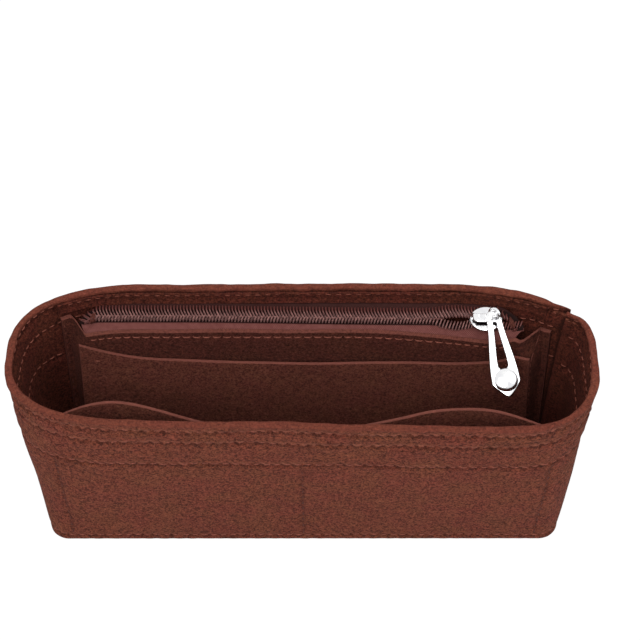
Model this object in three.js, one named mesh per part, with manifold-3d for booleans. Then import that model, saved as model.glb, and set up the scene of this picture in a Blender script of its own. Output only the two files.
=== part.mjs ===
// Purse organizer insert: a box of brown felt with an open mouth, two loose pockets inside its front
// wall, and a zipped pouch with a card pocket inside its rear wall.
// Millimetres, +X along the length, +Y to the rear, +Z up, origin at the middle of the underside.
import * as THREE from "three";
import { mergeVertices } from "three/addons/utils/BufferGeometryUtils.js";
import Module from "manifold-3d";

const wasm = await Module();
wasm.setup();

// Driving sizes of the felt box
const wallHeight = 110;
const rimLength = 244;
const rimDepth = 75;
const baseLength = 233;
const baseDepth = 44;
const feltThickness = 3;
const baseCornerRadius = 9;
// How far each corner of the rim sweeps along the wall, and what stays flat at the middle of an end
const rimFrontLeftSweep = 58;
const rimFrontRightSweep = 44;
const rimRearLeftSweep = 57;
const rimRearRightSweep = 68;
const rimEndFlat = 2.8;
// Power of the corner curve: 2 is a true ellipse, more is squarer.
const baseCornerPower = 2;
const rimCornerPower = 2.5;
// How much further the rim's front bulges on the right than in the middle, as a share of its depth
const frontSkewShare = 0.08;

// Felt that is sewn inside the box
const thinFelt = 1.4;
const pouchFelt = 2;
const flangeHeight = 7;
const flangeFelt = 2.5;
const restGap = 0.35;

// The lap where the two ends of the wall band are sewn over each other, as shares of the way from the
// middle of the rear to the middle of the right end, and how far the ends take to ease apart
const lapStartShare = 0.765;
const lapEndShare = 0.795;
const lapEase = 10;

// Front pockets
const pocketEndInset = 16;
const pocketHalfLength = rimLength / 2 - pocketEndInset;
const pocketMouthBelowRim = 12;
const pocketLeftBulge = 16.5;
const pocketRightBulge = 14;
// Where the hump of a pocket lies between its two seams, and how fast it fades towards the base
const pocketSkewPower = 1.6;
const pocketFadePower = 1.2;

// Zipped pouch and card pocket
const pouchEndInset = 18.5;
const pouchHalfLength = rimLength / 2 - pouchEndInset;
const pouchEndTurn = 9;
const pouchLeftInset = 3.3;
const pouchFlange = 3;
const pouchBottomBulge = 0.6;
const pouchGape = 1.6;
const pouchGapeReach = 26;
const cardHalfLength = pouchHalfLength - pouchEndTurn;
const cardTopBelowPouch = 14.5;
const cardSag = 2;
const cardRestGap = 0.8;
const cardBow = 2.4;
const stripFelt = 1.2;
const stripBelowRim = 1.5;

// Zip: woven tapes under two coils
const chainFromWall = 8.6;
const chainLean = 15;
const chainTopBelowRim = 6.4;
const coilWidth = 2.5;
const coilThickness = 2.2;
const coilGap = 1.2;
const toothPitch = 1.5;
const toothDepth = 0.8;
const tapeThickness = 0.6;
const tapeEdgeGap = 0.7;
const chainEndInset = 13.5;
const chainRight = pouchHalfLength - chainEndInset;
const chainLeft = -chainRight;
const gapeInset = 4;
const pouchGapeAt = chainRight - gapeInset;
const tapeOverrun = 3;
const endTackLength = 2.5;
const endTackHeight = 0.9;

// Slider, a casting that runs on the coils and carries the arched bridge for its pull
const sliderLength = 13.8;
const sliderHalfWidth = 4.8;
const sliderPlate = 1;
const sliderChannelGap = 0.3;
const sliderFeltGap = 0.75;
const sliderRestInset = 12;
const sliderRestX = chainRight - sliderRestInset;
const sliderPostWidth = 0.6;
const sliderPostLength = 3;
const bridgeWidth = 2.4;
const bridgeStrap = 1.1;
const bridgeAxisRise = 3.1;
const bridgeCornerRadius = 2;
const bridgeEndInset = 0.2;
// The slider seen from above: places along it as shares of its length, and its half width at each
const sliderLengthShares = [-0.5, -0.42, -0.22, 0.2, 0.42, 0.5];
const sliderWidthShares = [0.5, 0.86, 1, 0.95, 0.86, 0.62];

// Pull, a teardrop casting whose eye goes round the bridge
const pullTilt = 28;
const pullSlant = 9.8;
const pullLength = 36.5;
const pullOffsetX = 2.2;
const pullThickness = 1.8;
const pullHalfWidth = 6;
const pullDomeAt = 29.2;
const pullDomeRadius = 5.1;
const pullDomeRise = 2.2;
const pullNeckAt = 6;
const pullNeckHalfWidth = 3.3;
const pullSlotStart = 9;
const pullSlotEnd = 24.6;
const pullSlotHalfWidth = 2.1;
const pullSlotNeckHalfWidth = 0.8;
const pullTipRadius = 0.8;
const pullEyeRadius = 2.15;
const pullWireRadius = 0.8;
const pullEyeHalfLength = 1.7;
// Where a side of the pull leaves its neck's width, where it reaches its full width and how its tip rounds
const pullWaistShare = 0.5;
const pullShoulderShare = 0.7;
const pullTipShare = 0.5;
// How far the dome's foot lies above the middle of the plate, as a share of its thickness
const domeSeatShare = 0.25;
// The eye's wire as places across it, up and along: along is a share of the neck's reach where it is above
// zero, and of eyeBackShare times the eye's radius where it is below
const eyeBackShare = 0.4;
const eyeShares = [
  [-1, 0, 1],
  [-1, -0.2, 0.72],
  [-0.9, -0.75, 0.35],
  [-0.8, -1, 0],
  [-0.5, -0.7, -0.28],
  [0, 0, -0.4],
  [0.5, 0.7, -0.28],
  [0.8, 1, 0],
  [0.9, 0.75, 0.35],
  [1, 0.2, 0.72],
  [1, 0, 1],
];

// Sewing thread
const threadWidth = 0.9;
const threadThickness = 0.5;
const rimRowsBelowRim = [3.2, 12.8, 31.5];
const baseRowHeight = 4.5;
const threadEndGap = 1.5;
const seamTopGap = 1.2;
const pouchRowBelowTop = 4;
const tackLength = 3;

// How finely the curved pieces are cut
// Stations lie closest where the base's corners turn: shares of a quarter of the way round.
const quarterShares = [
  0, 0.2, 0.38, 0.5, 0.59, 0.66, 0.72, 0.765, 0.795, 0.82, 0.84, 0.86, 0.88, 0.905, 0.94, 1,
];
const riseShares = [0, 0.1, 0.25, 0.45, 0.7];
const turnShares = [1, 0.8, 0.6, 0.4, 0.2];
const sweepSteps = 40;
const uprightLevels = 10;
const panelColumns = 40;
const pouchColumns = 34;
const panelRows = 6;
const threadColumns = 30;
const eyeSteps = 26;
const domeSteps = 5;
const domeSides = 20;
// The step that an outline's direction is measured over, and how much of it counts as no step at all
const normalStep = 0.4;
const sameStepShare = 0.01;

// Colours and finishes
const outerFelt = { color: 0x76403a, roughness: 0.95, metalness: 0 };
const innerFelt = { color: 0x5a2c22, roughness: 0.95, metalness: 0 };
const tapeCloth = { color: 0x7b4b49, roughness: 0.8, metalness: 0 };
const coilNylon = { color: 0x8a5a52, roughness: 0.45, metalness: 0 };
const brightMetal = { color: 0xe4e4e6, roughness: 0.2, metalness: 1 };
const thread = { color: 0x8b5246, roughness: 0.7, metalness: 0 };

const insert = new THREE.Group();
const mix = (low, high, share) => low + (high - low) * share;
const clamp = (value) => Math.min(1, Math.max(0, value));
const smooth = (value) => clamp(value) ** 2 * (3 - 2 * clamp(value));

// The outer outline of the wall at one height, walked from the middle of the rear to the right end, the
// front and the left end. It is a box in plan whose corners widen from the base to the rim.
function makeOutline(z) {
  const share = z / wallHeight;
  const halfLength = mix(baseLength, rimLength, share) / 2;
  const halfDepth = mix(baseDepth, rimDepth, share) / 2;
  const power = mix(baseCornerPower, rimCornerPower, share);
  const endSweep = mix(baseCornerRadius, rimDepth / 2 - rimEndFlat, share);
  const quarters = [
    { signX: 1, signY: 1, sweep: rimRearRightSweep, turned: false },
    { signX: 1, signY: -1, sweep: rimFrontRightSweep, turned: true },
    { signX: -1, signY: -1, sweep: rimFrontLeftSweep, turned: false },
    { signX: -1, signY: 1, sweep: rimRearLeftSweep, turned: true },
  ];
  const points = [];
  for (const quarter of quarters) {
    const sideSweep = mix(baseCornerRadius, quarter.sweep, share);
    const arc = [new THREE.Vector2(0, halfDepth)];
    for (let step = 0; step <= sweepSteps; step++) {
      const angle = ((step / sweepSteps) * Math.PI) / 2;
      const x = halfLength - sideSweep + sideSweep * Math.sin(angle) ** (2 / power);
      const y = halfDepth - endSweep + endSweep * Math.cos(angle) ** (2 / power);
      arc.push(new THREE.Vector2(x, y));
    }
    arc.push(new THREE.Vector2(halfLength, 0));
    if (quarter.turned) arc.reverse();
    for (const point of arc) {
      const x = point.x * quarter.signX;
      const skew = quarter.signY < 0 ? 1 + (frontSkewShare * share * x) / halfLength : 1;
      points.push(new THREE.Vector2(x, point.y * quarter.signY * skew));
    }
  }
  const path = [points[0]];
  const lengths = [0];
  const quarterEnds = [0];
  for (const point of points.slice(1)) {
    const last = path[path.length - 1];
    const gap = point.distanceTo(last);
    if (gap < normalStep * sameStepShare) continue;
    path.push(point);
    lengths.push(lengths[lengths.length - 1] + gap);
    const walked = lengths[lengths.length - 1];
    if (point.y === 0 && point.x > 0) quarterEnds[1] = walked;
    if (point.x === 0 && point.y < 0) quarterEnds[2] = walked;
    if (point.y === 0 && point.x < 0) quarterEnds[3] = walked;
  }
  const around = lengths[lengths.length - 1];
  quarterEnds[4] = around;
  return { path, lengths, around, quarterEnds, frontMiddle: quarterEnds[2] };
}

const outlines = new Map();
function outlineAt(z) {
  if (!outlines.has(z)) outlines.set(z, makeOutline(z));
  return outlines.get(z);
}

// The point of an outline at a distance along it
function alongOutline(outline, distance) {
  const wrapped = ((distance % outline.around) + outline.around) % outline.around;
  let low = 0;
  let high = outline.lengths.length - 1;
  while (high - low > 1) {
    const middle = (low + high) >> 1;
    if (outline.lengths[middle] <= wrapped) low = middle;
    else high = middle;
  }
  const share = (wrapped - outline.lengths[low]) / (outline.lengths[high] - outline.lengths[low]);
  return outline.path[low].clone().lerp(outline.path[high], share);
}

// A point at a height, a distance along the outline and a depth inwards from the wall's outer face
function wallPoint(z, distance, depth) {
  const outline = outlineAt(z);
  const point = alongOutline(outline, distance);
  const ahead = alongOutline(outline, distance + normalStep);
  const behind = alongOutline(outline, distance - normalStep);
  const run = ahead.sub(behind).normalize();
  return new THREE.Vector3(point.x + run.y * depth, point.y - run.x * depth, z);
}

// Distances along the outline of a place on the front or rear wall, counted from the middle, right positive
const onFront = (z, side) => outlineAt(z).frontMiddle - side;
const onRear = (z, side) => outlineAt(z).around + side;

// The band's two ends part by half a felt each way where they lap: the first goes out, the last goes in.
const lapShift = (feltThickness + restGap) / 2;
function lapPlaces(z) {
  const { quarterEnds, around } = outlineAt(z);
  return { first: lapStartShare * quarterEnds[1], last: around + lapEndShare * quarterEnds[1] };
}

function bandShift(z, distance) {
  const { first, last } = lapPlaces(z);
  const out = smooth((first + lapEase * 2 - distance) / lapEase);
  const inwards = smooth((distance - last + lapEase * 2) / lapEase);
  return lapShift * (inwards - out);
}

// How deep the band's inner face lies at a place on the rear wall
const rearFace = (z, side) => feltThickness + bandShift(z, onRear(z, side));

// The stations round an outline, from the middle of the rear. Every other quarter is walked backwards.
function stationsAt(z) {
  const ends = outlineAt(z).quarterEnds;
  const stations = [];
  for (let quarter = 0; quarter < 4; quarter++) {
    const turned = quarter % 2 === 1;
    const shares = turned ? quarterShares.map((share) => 1 - share).reverse() : quarterShares;
    for (const share of shares.slice(1)) stations.push(mix(ends[quarter], ends[quarter + 1], share));
  }
  return stations;
}

// The stations along the wall band, from the first end to the last
function bandStations(z) {
  const { first, last } = lapPlaces(z);
  const around = outlineAt(z).around;
  const once = stationsAt(z);
  const twice = [...once, ...once.map((station) => station + around)];
  const within = twice.filter((station) => station > first + normalStep && station < last - normalStep);
  return [first, ...within, last];
}

// A closed body from a grid of points on each of two faces
function sheet(columns, rows, place) {
  const points = [];
  const index = [];
  const at = (column, row, face) => (face * (rows + 1) + row) * (columns + 1) + column;
  for (let face = 0; face < 2; face++)
    for (let row = 0; row <= rows; row++)
      for (let column = 0; column <= columns; column++) {
        points.push(place(column / columns, row / rows, face));
      }
  const quad = (a, b, c, d) => index.push(a, b, c, a, c, d);
  for (let row = 0; row < rows; row++)
    for (let column = 0; column < columns; column++) {
      quad(at(column, row, 0), at(column + 1, row, 0), at(column + 1, row + 1, 0), at(column, row + 1, 0));
      quad(at(column, row, 1), at(column, row + 1, 1), at(column + 1, row + 1, 1), at(column + 1, row, 1));
    }
  for (let column = 0; column < columns; column++) {
    quad(at(column, 0, 1), at(column + 1, 0, 1), at(column + 1, 0, 0), at(column, 0, 0));
    quad(at(column, rows, 0), at(column + 1, rows, 0), at(column + 1, rows, 1), at(column, rows, 1));
  }
  for (let row = 0; row < rows; row++) {
    quad(at(0, row, 0), at(0, row + 1, 0), at(0, row + 1, 1), at(0, row, 1));
    quad(at(columns, row, 1), at(columns, row + 1, 1), at(columns, row + 1, 0), at(columns, row, 0));
  }
  const geometry = new THREE.BufferGeometry().setFromPoints(points);
  geometry.setIndex(index);
  return facingOut(geometry);
}

// Turns a closed body's faces outwards
function facingOut(geometry) {
  const place = geometry.attributes.position;
  const index = geometry.index.array;
  const corner = (i) => new THREE.Vector3().fromBufferAttribute(place, index[i]);
  let volume = 0;
  for (let i = 0; i < index.length; i += 3) {
    volume += corner(i).dot(corner(i + 1).cross(corner(i + 2)));
  }
  if (volume < 0)
    for (let i = 0; i < index.length; i += 3) [index[i + 1], index[i + 2]] = [index[i + 2], index[i + 1]];
  return geometry;
}

function addPiece(name, geometry, finish) {
  const mesh = new THREE.Mesh(geometry, new THREE.MeshStandardMaterial(finish));
  mesh.name = name;
  insert.add(mesh);
  return mesh;
}

// Solids for cutting and joining
function solid(geometry) {
  const bare = geometry.index ? geometry.toNonIndexed() : geometry.clone();
  bare.deleteAttribute("normal");
  bare.deleteAttribute("uv");
  const merged = mergeVertices(bare);
  const triVerts = new Uint32Array(merged.index.array);
  const vertProperties = merged.attributes.position.array;
  return new wasm.Manifold(new wasm.Mesh({ numProp: 3, vertProperties, triVerts }));
}

function geometryOf(body) {
  const mesh = body.getMesh();
  const geometry = new THREE.BufferGeometry();
  geometry.setAttribute("position", new THREE.BufferAttribute(mesh.vertProperties, mesh.numProp));
  geometry.setIndex(new THREE.BufferAttribute(mesh.triVerts, 1));
  return geometry;
}

function box(low, high) {
  const size = high.clone().sub(low);
  const middle = low.clone().add(high).multiplyScalar(0.5);
  return new THREE.BoxGeometry(size.x, size.y, size.z).translate(middle.x, middle.y, middle.z);
}

// Felt wall band
const bandColumns = bandStations(0).length - 1;
const rowHeights = [...rimRowsBelowRim].reverse().map((below) => wallHeight - below);
const risingLevels = riseShares.map((share) => mix(flangeHeight, rowHeights[0], share));
const levels = [0, baseRowHeight, ...risingLevels, ...rowHeights, wallHeight];
const wallBand = sheet(bandColumns, levels.length - 1, (across, up, face) => {
  const z = levels[Math.round(up * (levels.length - 1))];
  const distance = bandStations(z)[Math.round(across * bandColumns)];
  return wallPoint(z, distance, bandShift(z, distance) + face * feltThickness);
});
addPiece("wall_band", wallBand, outerFelt);

// Base panel: a floor with a flange that stands up inside the wall
const flangeDepth = feltThickness + restGap;
function trayRing(z, depth) {
  const { around } = outlineAt(z);
  const { last } = lapPlaces(z);
  return stationsAt(z).map((distance) => {
    const inLap = distance < last - around ? bandShift(z, distance + around) : 0;
    const eased = lapShift * smooth((last - around + lapEase - distance) / lapEase);
    const inset = distance < last - around ? inLap : eased;
    return wallPoint(z, distance, depth + inset);
  });
}

// A closed solid from rings of equal count. Its first and last rings are filled in or, if it is hollow,
// joined to each other.
function ringSolid(rings, hollow) {
  const count = rings[0].length;
  const points = rings.flat();
  const index = [];
  const bands = hollow ? rings.length : rings.length - 1;
  for (let i = 0; i < count; i++) {
    const next = (i + 1) % count;
    for (let ring = 0; ring < bands; ring++) {
      const low = ring * count;
      const high = ((ring + 1) % rings.length) * count;
      index.push(low + i, low + next, high + next, low + i, high + next, high + i);
    }
  }
  if (!hollow) {
    const top = (rings.length - 1) * count;
    const underMiddle = points.push(new THREE.Vector3(0, 0, rings[0][0].z)) - 1;
    const overMiddle = points.push(new THREE.Vector3(0, 0, rings.at(-1)[0].z)) - 1;
    for (let i = 0; i < count; i++) {
      const next = (i + 1) % count;
      index.push(underMiddle, next, i, overMiddle, top + i, top + next);
    }
  }
  const geometry = new THREE.BufferGeometry().setFromPoints(points);
  geometry.setIndex(index);
  return facingOut(geometry);
}
const floorRings = [trayRing(0, flangeDepth), trayRing(feltThickness, flangeDepth)];
addPiece("base_panel", ringSolid(floorRings, false), innerFelt);

// The flange is the panel's turned-up edge, drawn as a piece of its own that stands on the floor
const flangeFoot = feltThickness + restGap;
const flangeRings = [
  trayRing(flangeFoot, flangeDepth),
  trayRing(flangeHeight, flangeDepth),
  trayRing(flangeHeight, flangeDepth + flangeFelt),
  trayRing(flangeFoot, flangeDepth + flangeFelt),
];
addPiece("base_flange", ringSolid(flangeRings, true), innerFelt);

// Front pockets: one thin felt sewn to the wall at both ends and down the middle, slack between the seams
const panelFoot = flangeHeight + restGap;
const pocketTop = wallHeight - pocketMouthBelowRim;
function pocketBulge(z, side) {
  const level = clamp((z - panelFoot) / (pocketTop - panelFoot)) ** pocketFadePower;
  const hump = Math.sin(Math.PI * clamp(Math.abs(side) / pocketHalfLength) ** pocketSkewPower);
  return level * hump * (side < 0 ? pocketLeftBulge : pocketRightBulge);
}

const frontPockets = sheet(panelColumns, panelRows, (across, up, face) => {
  const z = mix(panelFoot, pocketTop, up);
  const side = mix(-pocketHalfLength, pocketHalfLength, across);
  const depth = feltThickness + restGap + pocketBulge(z, side) + face * thinFelt;
  return wallPoint(z, onFront(z, side), depth);
});
addPiece("front_pocket_panel", frontPockets, innerFelt);

// Zip pouch: a felt front whose ends turn back to the rear wall
const coilTop = wallHeight - chainTopBelowRim;
const coilFoot = coilTop - coilThickness;
const tapeTop = coilFoot - restGap;
const tapeFoot = tapeTop - tapeThickness;
const chainMiddleY = wallPoint(tapeTop, 0, feltThickness + chainFromWall).y;
const pouchTop = tapeTop;
// The coils, tapes and slider lean forward together about the chain's middle line.
const degree = Math.PI / 180;
const chainMiddleZ = mix(coilFoot, coilTop, 0.5);
const zipLean = new THREE.Matrix4()
  .makeTranslation(0, chainMiddleY, chainMiddleZ)
  .multiply(new THREE.Matrix4().makeRotationX(chainLean * degree))
  .multiply(new THREE.Matrix4().makeTranslation(0, -chainMiddleY, -chainMiddleZ));
// The height at a place along Y of a level that the lean has tipped
function leanedHeight(y, z) {
  const slope = (y - chainMiddleY) * Math.tan(chainLean * degree);
  return chainMiddleZ + slope + (z - chainMiddleZ) / Math.cos(chainLean * degree);
}
// The pouch's face keeps clear of the slider.
const pouchTopBulge = chainFromWall + sliderHalfWidth + sliderFeltGap - restGap;
// Its left end stands nearer the middle and turns back more steeply.
const pouchInset = (side) => (side < 0 ? pouchLeftInset : 0);
function pouchFace(z, side) {
  const level = clamp((z - panelFoot) / (pouchTop - panelFoot));
  const inset = pouchInset(side);
  const end = smooth((pouchHalfLength - inset - Math.abs(side)) / (pouchEndTurn - inset));
  const gape = pouchGape * smooth(1 - Math.abs(side - pouchGapeAt) / pouchGapeReach);
  return rearFace(z, side) + restGap + end * mix(pouchBottomBulge, pouchTopBulge + gape, level);
}

// The panel's columns lie closer where its ends turn.
const pouchReach = pouchHalfLength + pouchFlange;
const pouchFlat = pouchHalfLength - pouchEndTurn;
function turnSides(sign) {
  const turn = pouchEndTurn - pouchInset(sign);
  return turnShares.map((share) => sign * (pouchFlat + share * turn));
}
const flatSide = (_, column) => mix(pouchFlat, -pouchFlat, column / pouchColumns);
const flatSides = Array.from({ length: pouchColumns + 1 }, flatSide);
const leftReach = pouchReach - pouchLeftInset;
const rightSides = [pouchReach, ...turnSides(1)];
const leftSides = [-leftReach, ...turnSides(-1)].reverse();
const pouchSides = [...rightSides, ...flatSides, ...leftSides].reverse();
const pouchPanel = sheet(pouchSides.length - 1, panelRows, (across, up, face) => {
  const z = mix(panelFoot, pouchTop, up);
  const side = pouchSides[Math.round(across * (pouchSides.length - 1))];
  return wallPoint(z, onRear(z, side), pouchFace(z, side) + face * pouchFelt);
});
addPiece("pouch_front_panel", pouchPanel, innerFelt);

// A strip of felt above the pouch, flat on the rear wall from the zip almost to the rim
const stripFoot = leanedHeight(chainMiddleY + chainFromWall, tapeTop) + restGap;
const stripFace = (z, side) => rearFace(z, side) + restGap;
const topStrip = sheet(pouchColumns, 2, (across, up, face) => {
  const z = mix(stripFoot, wallHeight - stripBelowRim, up);
  const side = mix(-pouchReach, pouchReach, across);
  return wallPoint(z, onRear(z, side), stripFace(z, side) + face * stripFelt);
});
addPiece("pouch_top_strip", topStrip, innerFelt);

// Card pocket: a thin felt in front of the pouch, sewn at its ends, its top edge bowed and a little slack
const cardTop = pouchTop - cardTopBelowPouch;
function cardFace(z, side) {
  const level = clamp((z - panelFoot) / (cardTop - panelFoot));
  const bow = Math.cos(((side / cardHalfLength) * Math.PI) / 2) ** 2;
  return pouchFace(z, side) + pouchFelt + cardRestGap + cardBow * bow * level;
}

function cardPlace(side, up, face) {
  const sag = cardSag * Math.cos(((side / cardHalfLength) * Math.PI) / 2);
  const z = mix(panelFoot, cardTop - sag, up);
  return wallPoint(z, onRear(z, side), cardFace(z, side) + face * thinFelt);
}

const cardPanel = sheet(panelColumns, panelRows, (across, up, face) =>
  cardPlace(mix(-cardHalfLength, cardHalfLength, across), up, face),
);
addPiece("card_pocket_panel", cardPanel, innerFelt);

// Zip tapes: flat strips from each coil to the rear wall and to the pouch front
const tapeLeft = chainLeft - tapeOverrun;
const tapeRight = chainRight + tapeOverrun;

// The depth along Y of a face on the rear wall at a place along X
function rearEdgeY(x, depthOf) {
  const at = (side) => wallPoint(tapeTop, onRear(tapeTop, side), depthOf(side));
  let low = -pouchReach;
  let high = pouchReach;
  for (let step = 0; step < panelColumns; step++) {
    const middle = (low + high) / 2;
    if (at(middle).x < x) low = middle;
    else high = middle;
  }
  return at(low).y;
}

function tape(name, away, outerY) {
  const inner = new THREE.Vector3(0, chainMiddleY + (away * coilGap) / 2, mix(tapeFoot, tapeTop, 0.5));
  const innerY = inner.applyMatrix4(zipLean).y;
  const place = (across, up, face) => {
    const x = mix(tapeLeft, tapeRight, across);
    const y = face ? outerY(x) : innerY;
    return new THREE.Vector3(x, y, leanedHeight(y, mix(tapeFoot, tapeTop, up)));
  };
  addPiece(name, sheet(panelColumns, 1, place), tapeCloth);
}
tape("zip_tape_rear", 1, (x) =>
  rearEdgeY(x, (side) => rearFace(tapeTop, side) + tapeEdgeGap),
);
tape("zip_tape_front", -1, (x) =>
  rearEdgeY(x, (side) => pouchFace(tapeTop, side) - tapeEdgeGap),
);

// Zip coils: a row of teeth along the inner edge of a rounded strip
function coil(name, away) {
  const teeth = Math.round((chainRight - chainLeft) / toothPitch);
  const pitch = (chainRight - chainLeft) / teeth;
  const outline = new THREE.Shape();
  outline.moveTo(chainLeft, coilWidth);
  outline.lineTo(chainLeft, toothDepth);
  for (let tooth = 0; tooth < teeth; tooth++) {
    outline.lineTo(chainLeft + (tooth + 0.5) * pitch, 0);
    outline.lineTo(chainLeft + (tooth + 1) * pitch, toothDepth);
  }
  outline.lineTo(chainRight, coilWidth);
  const geometry = new THREE.ExtrudeGeometry(outline, { depth: coilThickness, bevelEnabled: false });
  if (away < 0) geometry.rotateX(Math.PI).translate(0, 0, coilThickness);
  geometry.translate(0, chainMiddleY + (away * coilGap) / 2, coilFoot);
  addPiece(name, geometry.applyMatrix4(zipLean), coilNylon);
}
coil("zip_coil_rear", 1);
coil("zip_coil_front", -1);

// Thread tacks across both ends of the chain
function endTack(name, left) {
  const reach = coilGap / 2 + coilWidth;
  const foot = coilTop + restGap;
  const low = new THREE.Vector3(left, chainMiddleY - reach, foot);
  const high = new THREE.Vector3(left + endTackLength, chainMiddleY + reach, foot + endTackHeight);
  addPiece(name, box(low, high).applyMatrix4(zipLean), thread);
}
endTack("zip_end_tack_left", chainLeft);
endTack("zip_end_tack_right", chainRight - endTackLength);

// Slider
const plateFoot = coilTop + sliderChannelGap;
const plateTop = plateFoot + sliderPlate;
const bridgeAxisZ = plateTop + bridgeAxisRise;

// Seen from above the slider is widest near its left end and pinches in at both ends.
function sliderSolid(low, high) {
  const edge = sliderLengthShares.map(
    (share, i) => new THREE.Vector2(share * sliderLength, sliderWidthShares[i] * sliderHalfWidth),
  );
  const other = edge.map((point) => new THREE.Vector2(point.x, -point.y)).reverse();
  const shape = new THREE.Shape([...other, ...edge]);
  const geometry = new THREE.ExtrudeGeometry(shape, { depth: high - low, bevelEnabled: false });
  return solid(geometry.translate(sliderRestX, chainMiddleY, low));
}

// The bridge is a strap with round shoulders that springs from both ends of the top plate.
function bridgeSolid() {
  const rise = plateFoot + sliderPlate / 2;
  const strapTop = bridgeAxisZ + bridgeStrap / 2;
  const halfSpan = sliderLength / 2 - bridgeEndInset;
  const arch = (half, foot, top, radius) => {
    const shape = new THREE.Shape();
    shape.moveTo(-half, foot);
    shape.lineTo(half, foot);
    shape.lineTo(half, top - radius);
    shape.absarc(half - radius, top - radius, radius, 0, Math.PI / 2);
    shape.lineTo(-half + radius, top);
    shape.absarc(-half + radius, top - radius, radius, Math.PI / 2, Math.PI);
    shape.lineTo(-half, foot);
    return shape;
  };
  const raise = (shape, width) => {
    const options = { depth: width, bevelEnabled: false, curveSegments: 5 };
    const geometry = new THREE.ExtrudeGeometry(shape, options).rotateX(Math.PI / 2);
    return solid(geometry.translate(sliderRestX, chainMiddleY + width / 2, 0));
  };
  const inner = bridgeCornerRadius - bridgeStrap;
  const whole = raise(arch(halfSpan, rise, strapTop, bridgeCornerRadius), bridgeWidth);
  const tunnel = arch(halfSpan - bridgeStrap, plateTop, strapTop - bridgeStrap, inner);
  return whole.subtract(raise(tunnel, bridgeWidth * 2));
}

const channelHalf = coilGap / 2 + coilWidth + sliderChannelGap;
const channelLow = new THREE.Vector3(sliderRestX - sliderLength, chainMiddleY - channelHalf, tapeTop);
const channelHigh = new THREE.Vector3(sliderRestX + sliderLength, chainMiddleY + channelHalf, plateFoot);
const postLeft = sliderRestX - sliderLength / 2 + sliderPlate;
const lowerTop = tapeFoot - sliderChannelGap;
const postLow = new THREE.Vector3(postLeft, chainMiddleY - sliderPostWidth / 2, lowerTop - sliderPlate / 2);
const postHigh = new THREE.Vector3(
  postLeft + sliderPostLength,
  chainMiddleY + sliderPostWidth / 2,
  plateFoot + sliderPlate / 2,
);
const slider = sliderSolid(tapeTop + sliderChannelGap, plateTop)
  .subtract(solid(box(channelLow, channelHigh)))
  .add(sliderSolid(lowerTop - sliderPlate, lowerTop))
  .add(solid(box(postLow, postHigh)))
  .add(bridgeSolid());
addPiece("slider_body", geometryOf(slider).applyMatrix4(zipLean), brightMetal);

// Pull, drawn flat with its length along +Y and its face up, then leaned forward over the pouch
function pullPlate() {
  const neck = pullNeckHalfWidth;
  const wide = pullHalfWidth;
  const waist = mix(pullNeckAt, pullDomeAt, pullWaistShare);
  const shoulder = mix(pullNeckAt, pullDomeAt, pullShoulderShare);
  const belowDome = mix(pullDomeAt, pullLength, pullTipShare);
  const shape = new THREE.Shape();
  shape.moveTo(-neck, pullNeckAt);
  shape.lineTo(neck, pullNeckAt);
  shape.bezierCurveTo(neck, waist, wide, shoulder, wide, pullDomeAt);
  shape.quadraticCurveTo(wide, belowDome, pullTipRadius, pullLength);
  shape.lineTo(-pullTipRadius, pullLength);
  shape.quadraticCurveTo(-wide, belowDome, -wide, pullDomeAt);
  shape.bezierCurveTo(-wide, shoulder, -neck, waist, -neck, pullNeckAt);
  const slot = new THREE.Path();
  slot.moveTo(-pullSlotNeckHalfWidth, pullSlotStart);
  slot.lineTo(-pullSlotHalfWidth, pullSlotEnd - pullSlotHalfWidth);
  slot.absarc(0, pullSlotEnd - pullSlotHalfWidth, pullSlotHalfWidth, Math.PI, 0, true);
  slot.lineTo(pullSlotNeckHalfWidth, pullSlotStart);
  slot.lineTo(-pullSlotNeckHalfWidth, pullSlotStart);
  shape.holes.push(slot);
  const options = { depth: pullThickness, bevelEnabled: false, curveSegments: 7 };
  return solid(new THREE.ExtrudeGeometry(shape, options).translate(0, 0, -pullThickness / 2));
}

// The domed button is a flat cap turned about its own upright axis.
function pullDome() {
  const profile = [new THREE.Vector2(0, 0), new THREE.Vector2(pullDomeRadius, 0)];
  for (let step = 1; step < domeSteps; step++) {
    const angle = ((step / domeSteps) * Math.PI) / 2;
    profile.push(new THREE.Vector2(pullDomeRadius * Math.cos(angle), pullDomeRise * Math.sin(angle)));
  }
  profile.push(new THREE.Vector2(0, pullDomeRise));
  const cap = new THREE.LatheGeometry(profile, domeSides).rotateX(Math.PI / 2);
  return solid(cap.translate(0, pullDomeAt, pullThickness * domeSeatShare));
}

// The eye is a wire from the left arm, under the bridge, up behind it and over it to the right arm.
function pullEye() {
  const radius = pullEyeRadius;
  const half = pullEyeHalfLength;
  const neck = pullNeckHalfWidth - pullWireRadius;
  const reach = pullNeckAt + pullWireRadius;
  const points = eyeShares.map(([across, up, along]) => {
    const x = Math.abs(across) === 1 ? across * neck : across * half;
    const y = along > 0 ? along * reach : (along / eyeBackShare) * radius;
    return new THREE.Vector3(x, y, up * radius);
  });
  const wire = new THREE.Shape().absarc(0, 0, pullWireRadius, 0, Math.PI * 2);
  const path = new THREE.CatmullRomCurve3(points);
  const options = { steps: eyeSteps, extrudePath: path, curveSegments: 4 };
  return solid(new THREE.ExtrudeGeometry(wire, options));
}

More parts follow.
